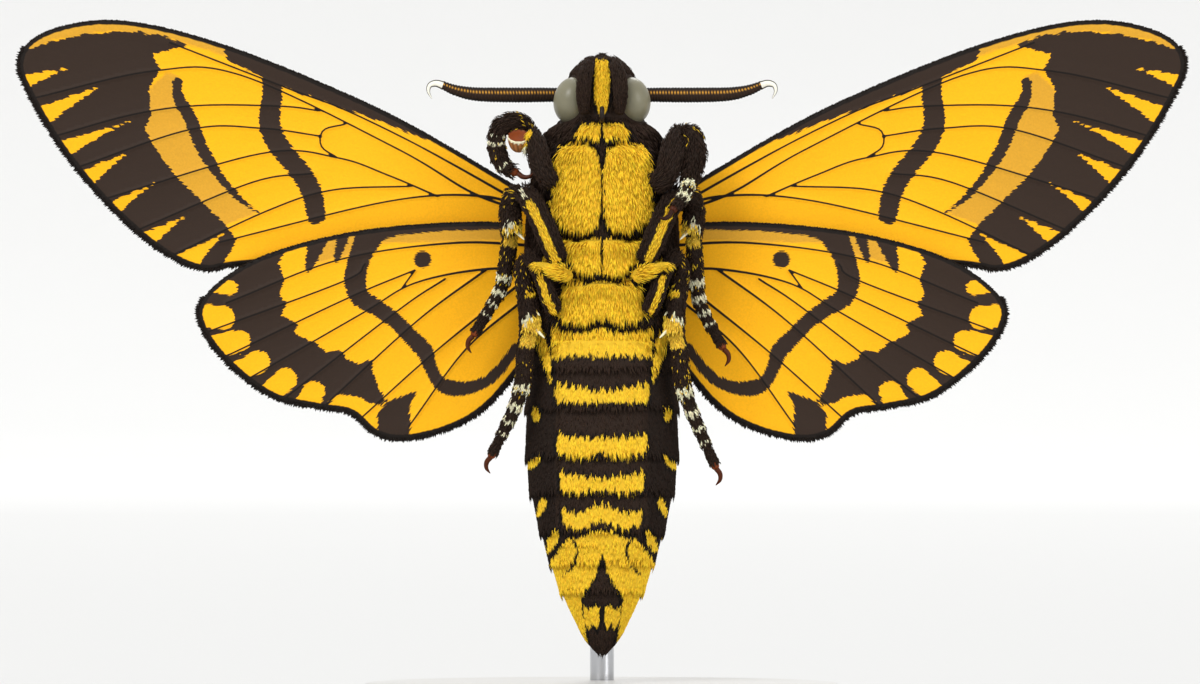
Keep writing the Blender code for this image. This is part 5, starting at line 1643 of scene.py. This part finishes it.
def eye_material():
    """A grey green compound eye with fine facets."""
    material, nodes, links, shader = new_material("eye_facets", 0.4, 0.3)
    shader.inputs["Coat Weight"].default_value = 0.2
    shader.inputs["Coat Roughness"].default_value = 0.18
    place_socket = object_place(nodes)
    facets = nodes.new("ShaderNodeTexVoronoi")
    facets.inputs["Scale"].default_value = FACETS
    links.new(place_socket, facets.inputs["Vector"])
    cloud = grain(nodes, links, place_socket, EYE_GRAIN)
    (eye,) = tones("eye")
    colour = mixed(nodes, links, cloud, eye * 0.75, eye * 1.2)
    # the tint carries painted shade towards the eye's socket
    colour = mixed(nodes, links, 1.0, colour, attribute(nodes, "tint", "Color"), "MULTIPLY")
    links.new(colour, shader.inputs["Base Color"])
    bumped(nodes, links, shader, facets.outputs["Distance"], strength=0.25, depth=0.02)
    return material


def eye_points(name, ball):
    """Points in the scene from points of an eye's unit ball; its top leans inwards."""
    low, high = (np.array(corner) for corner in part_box("eye_" + name))
    points = ball * (high - low) / 2 * EYE_SHARE
    lean = math.radians(EYE_LEAN) * SIDES[name]
    across = points[:, 0] * math.cos(lean) - points[:, 2] * math.sin(lean)
    height = points[:, 0] * math.sin(lean) + points[:, 2] * math.cos(lean)
    return (low + high) / 2 + np.column_stack([across, points[:, 1], height])


def unit_ball(u, v):
    """Points on a ball of radius 1, from u round it and v from its lower to its upper pole."""
    turn, tip = u * FULL_TURN, (v - 0.5) * math.pi
    return np.column_stack([np.cos(turn) * np.cos(tip), np.sin(turn) * np.cos(tip), np.sin(tip)])


def make_eyes():
    """Two compound eyes in dark sockets, ringed with short scales."""
    (line,) = tones("line")
    material = eye_material()
    rng = np.random.default_rng(EYE_SEED)
    groups = []
    for name, side in SIDES.items():
        middle = np.array([SOCKET_AT[0] * side, SOCKET_AT[1], 0.0])

        def eye(u, v):
            ball = unit_ball(u, v)
            outward = ball[:, 0] * side * EYE_FRONT[0] + ball[:, 1] * EYE_FRONT[1]
            # painted shade: the eye gets darker the more it faces back and inwards, where it sinks into its
            # socket
            light = np.clip((outward + 0.28) * 3, 0.12, 1.0)
            return eye_points(name, ball), np.ones((len(u), 3)) * light[:, None]

        def socket(u, v):
            return eye_points(name, unit_ball(u, v) * SOCKET_SIZE + middle), np.tile(line * 1.2, (len(u), 1))

        mesh = wrapped("eye", 64, 40, eye)
        new_piece(f"eye_ball_{name}", mesh, "eye", material, replaces=("eye_" + name,))
        new_piece(f"eye_socket_{name}", wrapped("socket", 48, 30, socket), "dark_coat", coat_material())
        count = SMALL_COATS["eye_rim"][0]
        turn = rng.uniform(-math.pi, math.pi, count)
        depth = rng.uniform(-0.3, 0.35, count)
        axis = middle / np.linalg.norm(middle)
        first = np.array([axis[1], -axis[0], 0.0])
        ring = np.cos(turn)[:, None] * first + np.sin(turn)[:, None] * UPWARDS
        out = axis * depth[:, None] + ring * np.sqrt(1 - depth**2)[:, None]
        swirl = np.cos(turn)[:, None] * UPWARDS - np.sin(turn)[:, None] * first
        groups.append(
            {
                "root": eye_points(name, out * SOCKET_SIZE + middle),
                "normal": out,
                "lie": swirl * side + axis * 0.4 + rng.normal(0, 0.25, out.shape),
                **tuft_sizes(rng, "eye_rim"),
                "tint": varied(np.tile(line * 1.4, (count, 1)), rng, 0.3),
                "spot": np.column_stack([turn / FULL_TURN + 0.5, (side + 1) / 4 + 0.2 + depth * 0.4]),
            }
        )
    make_coat("coat_eye_rims", "dark_coat", together(groups))


def make_palps():
    """The two upturned palps beside the face, with their scales."""
    rng = np.random.default_rng(PALP_SEED)
    (dark,) = tones("body_dark")
    radii = radii_at(np.linspace(0, 1, 20), PALP_RADII) - PALP_COAT
    groups = []
    for order, (name, side) in enumerate(SIDES.items()):
        path = through([(x * side, y, z) for x, y, z in PALP_PATH], 20)
        # painted shade: the palp's skin is darker than its coat, for the gaps between the tufts
        mesh = limb_mesh("palp", path, radii, evenly(dark * LIMB_PAINTED_SHADE))
        new_piece(f"palp_skin_{name}", mesh, "dark_coat", coat_material(), replaces=("palp_" + name,))
        count = SMALL_COATS["palp"][0]
        share, turn = rng.uniform(0.02, 1, count), rng.uniform(-math.pi, math.pi, count)
        points, out, along = limb_points(path, radii, share, turn)
        groups.append(
            {
                "root": place(*points.T),
                "normal": out,
                "lie": along + rng.normal(0, 0.15, along.shape),
                **tuft_sizes(rng, "palp"),
                "tint": varied(np.tile(dark, (count, 1)), rng, 0.25),
                "spot": limb_spots(order, 2, share, turn),
            }
        )
    make_coat("coat_palps", "dark_coat", together(groups))


def ring_at(share):
    """How far along its own ring of the feeler each place lies, from 0 to 1."""
    return (share / HOOK_START * FEELER_RINGS) % 1.0


def make_feelers():
    """Thick ringed feelers with a pale thin hook at the tip."""
    gold, dark, brown, cream = tones("feeler", "line", "body_dark", "cream")
    tint, white = PALE_HOOK
    pale = cream * tint + white
    share = np.linspace(0, 1, 400)
    ringed = share < HOOK_START
    radii = radii_at(share, FEELER_RADII) + np.where(ringed, RING_RISE * (ring_at(share) - 0.5), 0.0)
    for name, side in SIDES.items():
        path = through([(x * side, y, z) for x, y, z in FEELER_PATH], len(share))

        def colour_at(share, turn):
            low = np.sin(turn) * side
            middle = np.abs(low) < PALE_HALF
            comb = (low > COMB_ROW[0]) & (low < COMB_ROW[1]) & (np.cos(turn) > 0)
            colours = np.where(middle[:, None], brown, dark)
            colours = np.where((comb & (ring_at(share) > 0.45))[:, None], gold, colours)
            return np.where(((share > HOOK_START) & middle)[:, None], pale, colours)

        mesh = limb_mesh("feeler", path, radii, colour_at, 20, 0.045)
        material = coat_variant("feeler_rings")
        new_piece(f"feeler_{name}", mesh, "feeler", material, replaces=("antenna_" + name,))


def make_tongue():
    """The short coiled tongue."""
    y, z = TONGUE_CENTRE
    share = np.linspace(0, 1, 60)
    turn = -share * TONGUE_TURNS * FULL_TURN
    radius = TONGUE_OUTER * (1 - TONGUE_TAPER * share)
    coil = np.column_stack([np.zeros(len(share)), y + radius * np.cos(turn), z + radius * np.sin(turn)])
    path = np.vstack([[(0.0, start, z) for start in TONGUE_START], coil])
    radii = np.interp(np.linspace(0, 1, len(path)), [0, 0.9, 1], [TONGUE_RADIUS, TONGUE_RADIUS, 0.1])
    (line,) = tones("line")
    mesh = limb_mesh("tongue", path, radii, evenly(line * 2.2), 16, 0.06)
    material = coat_variant("tongue_skin", TONGUE_ROUGHNESS)
    new_piece("tongue", mesh, "tongue", material, replaces=("proboscis",))


# Stand and studio


def make_stand():
    """The round base and the bent rod."""
    bm = bmesh.new()
    radius, middle = BASE_RADIUS * MM, BASE_HEIGHT / 2 * MM
    made = bmesh.ops.create_cone(
        bm, cap_ends=True, segments=128, radius1=radius, radius2=radius, depth=BASE_HEIGHT * MM
    )
    bmesh.ops.translate(bm, vec=(0, 0, middle), verts=made["verts"])
    rim = [e for e in bm.edges if all(v.co.z > middle for v in e.verts)]
    bmesh.ops.bevel(bm, geom=rim, offset=BASE_EDGE * MM, segments=5, profile=0.5, affect="EDGES", material=-1)
    mesh = mesh_from(bm, "display_base")
    mesh.shade_smooth()
    mesh.set_sharp_from_angle(angle=math.radians(40))
    satin = plain_material("satin_base", shade(190, 189, 186), 0.42, 900.0, 0.03)
    new_piece("display_base", mesh, "stand_plastic", satin, replaces=("stand_base",))
    bend = ROD_END - ROD_BEND
    turn = np.linspace(0, math.pi / 2, 16)[1:]
    start = BASE_HEIGHT - LIFT - ROD_HIDDEN
    straight = [(0.0, ROD_BACK, z) for z in np.linspace(start, ROD_BEND, 20)]
    arc = [(0.0, ROD_BACK - bend * (1 - math.cos(t)), ROD_BEND + bend * math.sin(t)) for t in turn]
    path = np.array([*straight, *arc, (0.0, arc[-1][1] - ROD_HIDDEN, arc[-1][2])])
    steel = plain_material("polished_steel", shade(196, 197, 200), 0.22, 3000.0, 0.04, metallic=1.0)
    rod = limb_mesh("rod", path, np.full(len(path), ROD_RADIUS), evenly((0.6, 0.6, 0.6)), 32, 0.6)
    new_piece("display_rod", rod, "stand_steel", steel, replaces=("stand_rod",))


def area_light(name, spot, aim, size, power):
    """A round soft lamp that looks from spot to aim."""
    light = bpy.data.lights.new(name, "AREA")
    light.shape = "DISK"
    light.size = size
    light.energy = power
    lamp = bpy.data.objects.new(name, light)
    lamp.location = spot
    lamp.rotation_euler = (Vector(aim) - Vector(spot)).to_track_quat("-Z", "Y").to_euler()
    bpy.context.scene.collection.objects.link(lamp)


def paper_material():
    """White paper, a little greyer where it lies flat under the lamps."""
    material = plain_material("studio_paper", (1.0, 1.0, 1.0), 0.9, 4.0, 0.01)
    nodes, links = material.node_tree.nodes, material.node_tree.links
    base = nodes["Principled BSDF"].inputs["Base Color"]
    split = nodes.new("ShaderNodeSeparateXYZ")
    links.new(object_place(nodes), split.inputs["Vector"])
    start, end = PAPER_REACH
    slope = 1 / (end - start)
    climb = maths(nodes, links, "MULTIPLY_ADD", split.outputs["Y"], slope, -start * slope, clamp=True)
    tone = mixed(nodes, links, climb, shade(*PAPER_FLOOR), shade(*PAPER_WALL))
    links.new(mixed(nodes, links, 1.0, tone, base.links[0].from_socket, "MULTIPLY"), base)
    return material


def make_studio():
    """A pale floor that curves up behind, soft light and the camera."""
    scene, settings = bpy.context.scene, bpy.context.scene.hawkmoth_studio
    bm = bmesh.new()
    near, far, curve, top, half = PAPER_SIZE
    profile = [(near, 0.0), (far, 0.0)]
    for turn in np.linspace(0, math.pi / 2, 16)[1:]:
        profile.append((far + curve * math.sin(turn), curve - curve * math.cos(turn)))
    profile.append((far + curve, top))
    line = [bm.verts.new((-half, y, z)) for y, z in profile]
    edges = [bm.edges.new(pair) for pair in zip(line, line[1:])]
    made = bmesh.ops.extrude_edge_only(bm, edges=edges)["geom"]
    bmesh.ops.translate(bm, vec=(2 * half, 0, 0), verts=only_vertices(made))
    bmesh.ops.recalc_face_normals(bm, faces=bm.faces)
    mesh = mesh_from(bm, "studio_floor")
    mesh.shade_smooth()
    floor = bpy.data.objects.new("studio_floor", mesh)
    scene.collection.objects.link(floor)
    mesh.materials.append(paper_material())
    for name, spot, aim, size, power in LAMPS:
        area_light(name, spot, aim, size, getattr(settings, power))
    world = bpy.data.worlds.new("studio_room")
    scene.world = world
    world.use_nodes = True
    sky = world.node_tree.nodes["Background"]
    sky.inputs["Color"].default_value = (1.0, 1.0, 1.0, 1.0)
    sky.inputs["Strength"].default_value = settings.sky
    scene.view_settings.view_transform = "Standard"
    lens = bpy.data.cameras.new("front_camera")
    lens.lens = FOCAL_LENGTH
    lens.sensor_width = 36.0
    lens.clip_start = 0.01
    lens.clip_end = 20.0
    camera = bpy.data.objects.new("front_camera", lens)
    x, z = FRAME_MIDDLE
    distance = FRAME_WIDTH * MM * lens.lens / lens.sensor_width
    camera.location = (x * MM, 2.0 * MM - distance, (LIFT + z) * MM)
    camera.rotation_euler = (math.pi / 2, 0, 0)
    scene.collection.objects.link(camera)
    scene.camera = camera


# The add-on


class HAWKMOTH_OT_body_skin(bpy.types.Operator):
    """One skin over abdomen, thorax and head."""

    bl_idname = "hawkmoth.body_skin"
    bl_label = "Body skin"

    def execute(self, context):
        make_body_skin()
        return {"FINISHED"}


class HAWKMOTH_OT_body_coat(bpy.types.Operator):
    """Scales and hair of the body."""

    bl_idname = "hawkmoth.body_coat"
    bl_label = "Body coat"

    def execute(self, context):
        make_body_coat()
        return {"FINISHED"}


class HAWKMOTH_OT_eyes(bpy.types.Operator):
    """Two compound eyes."""

    bl_idname = "hawkmoth.eyes"
    bl_label = "Eyes"

    def execute(self, context):
        make_eyes()
        return {"FINISHED"}


class HAWKMOTH_OT_palps(bpy.types.Operator):
    """Two upturned palps with their scales."""

    bl_idname = "hawkmoth.palps"
    bl_label = "Palps"

    def execute(self, context):
        make_palps()
        return {"FINISHED"}


class HAWKMOTH_OT_feelers(bpy.types.Operator):
    """Two ringed feelers with hooked tips."""

    bl_idname = "hawkmoth.feelers"
    bl_label = "Feelers"

    def execute(self, context):
        make_feelers()
        return {"FINISHED"}


class HAWKMOTH_OT_tongue(bpy.types.Operator):
    """The short coiled tongue."""

    bl_idname = "hawkmoth.tongue"
    bl_label = "Tongue"

    def execute(self, context):
        make_tongue()
        return {"FINISHED"}


class HAWKMOTH_OT_wings(bpy.types.Operator):
    """Four wings with veins and markings."""

    bl_idname = "hawkmoth.wings"
    bl_label = "Wings"

    def execute(self, context):
        make_wings()
        return {"FINISHED"}


class HAWKMOTH_OT_fringe(bpy.types.Operator):
    """Dark scales along the wings' margins."""

    bl_idname = "hawkmoth.fringe"
    bl_label = "Wing fringe"

    def execute(self, context):
        make_fringe()
        return {"FINISHED"}


class HAWKMOTH_OT_legs(bpy.types.Operator):
    """Six legs."""

    bl_idname = "hawkmoth.legs"
    bl_label = "Legs"

    def execute(self, context):
        make_legs()
        return {"FINISHED"}


class HAWKMOTH_OT_leg_coat(bpy.types.Operator):
    """Scales of the legs."""

    bl_idname = "hawkmoth.leg_coat"
    bl_label = "Leg coat"

    def execute(self, context):
        make_leg_coat()
        return {"FINISHED"}


class HAWKMOTH_OT_claws(bpy.types.Operator):
    """Claws and spurs."""

    bl_idname = "hawkmoth.claws"
    bl_label = "Claws"

    def execute(self, context):
        make_claws()
        return {"FINISHED"}


class HAWKMOTH_OT_pad(bpy.types.Operator):
    """Cup-shaped pad of the curled foreleg."""

    bl_idname = "hawkmoth.pad"
    bl_label = "Foreleg pad"

    def execute(self, context):
        make_pad()
        return {"FINISHED"}


class HAWKMOTH_OT_leaves(bpy.types.Operator):
    """Leaf-shaped bundles of scales on the belly."""

    bl_idname = "hawkmoth.leaves"
    bl_label = "Belly leaves"

    def execute(self, context):
        make_leaves()
        return {"FINISHED"}


class HAWKMOTH_OT_stand(bpy.types.Operator):
    """The round base and the rod."""

    bl_idname = "hawkmoth.stand"
    bl_label = "Display stand"

    def execute(self, context):
        make_stand()
        return {"FINISHED"}


class HAWKMOTH_OT_studio(bpy.types.Operator):
    """Floor, lights and camera."""

    bl_idname = "hawkmoth.studio"
    bl_label = "Studio"

    def execute(self, context):
        make_studio()
        return {"FINISHED"}


OPERATORS = (
    HAWKMOTH_OT_body_skin,
    HAWKMOTH_OT_body_coat,
    HAWKMOTH_OT_eyes,
    HAWKMOTH_OT_palps,
    HAWKMOTH_OT_feelers,
    HAWKMOTH_OT_tongue,
    HAWKMOTH_OT_wings,
    HAWKMOTH_OT_fringe,
    HAWKMOTH_OT_legs,
    HAWKMOTH_OT_leg_coat,
    HAWKMOTH_OT_claws,
    HAWKMOTH_OT_pad,
    HAWKMOTH_OT_leaves,
    HAWKMOTH_OT_stand,
    HAWKMOTH_OT_studio,
)


class HAWKMOTH_PT_pieces(bpy.types.Panel):
    """Lists the pieces of the hawkmoth and their settings."""

    bl_label = "Hawkmoth"
    bl_space_type = "VIEW_3D"
    bl_region_type = "UI"
    bl_category = "Hawkmoth"

    def draw(self, context):
        for name in SETTINGS:
            group = getattr(context.scene, name)
            for field in group.__annotations__:
                self.layout.prop(group, field)
        for operator in OPERATORS:
            self.layout.operator(operator.bl_idname)


SETTINGS = {
    "hawkmoth_colours": HawkmothColours,
    "hawkmoth_coat": HawkmothCoat,
    "hawkmoth_studio": HawkmothStudio,
}
CLASSES = (*SETTINGS.values(), *OPERATORS, HAWKMOTH_PT_pieces)


def register():
    for cls in CLASSES:
        bpy.utils.register_class(cls)
    for name, cls in SETTINGS.items():
        setattr(bpy.types.Scene, name, PointerProperty(type=cls))


def unregister():
    for name in SETTINGS:
        delattr(bpy.types.Scene, name)
    for cls in reversed(CLASSES):
        bpy.utils.unregister_class(cls)


def main():
    """Makes every piece and the stage."""
    register()
    for operator in OPERATORS:
        group, word = operator.bl_idname.split(".")
        getattr(getattr(bpy.ops, group), word)()
    bpy.context.view_layer.update()


if __name__ == "__main__":
    main()
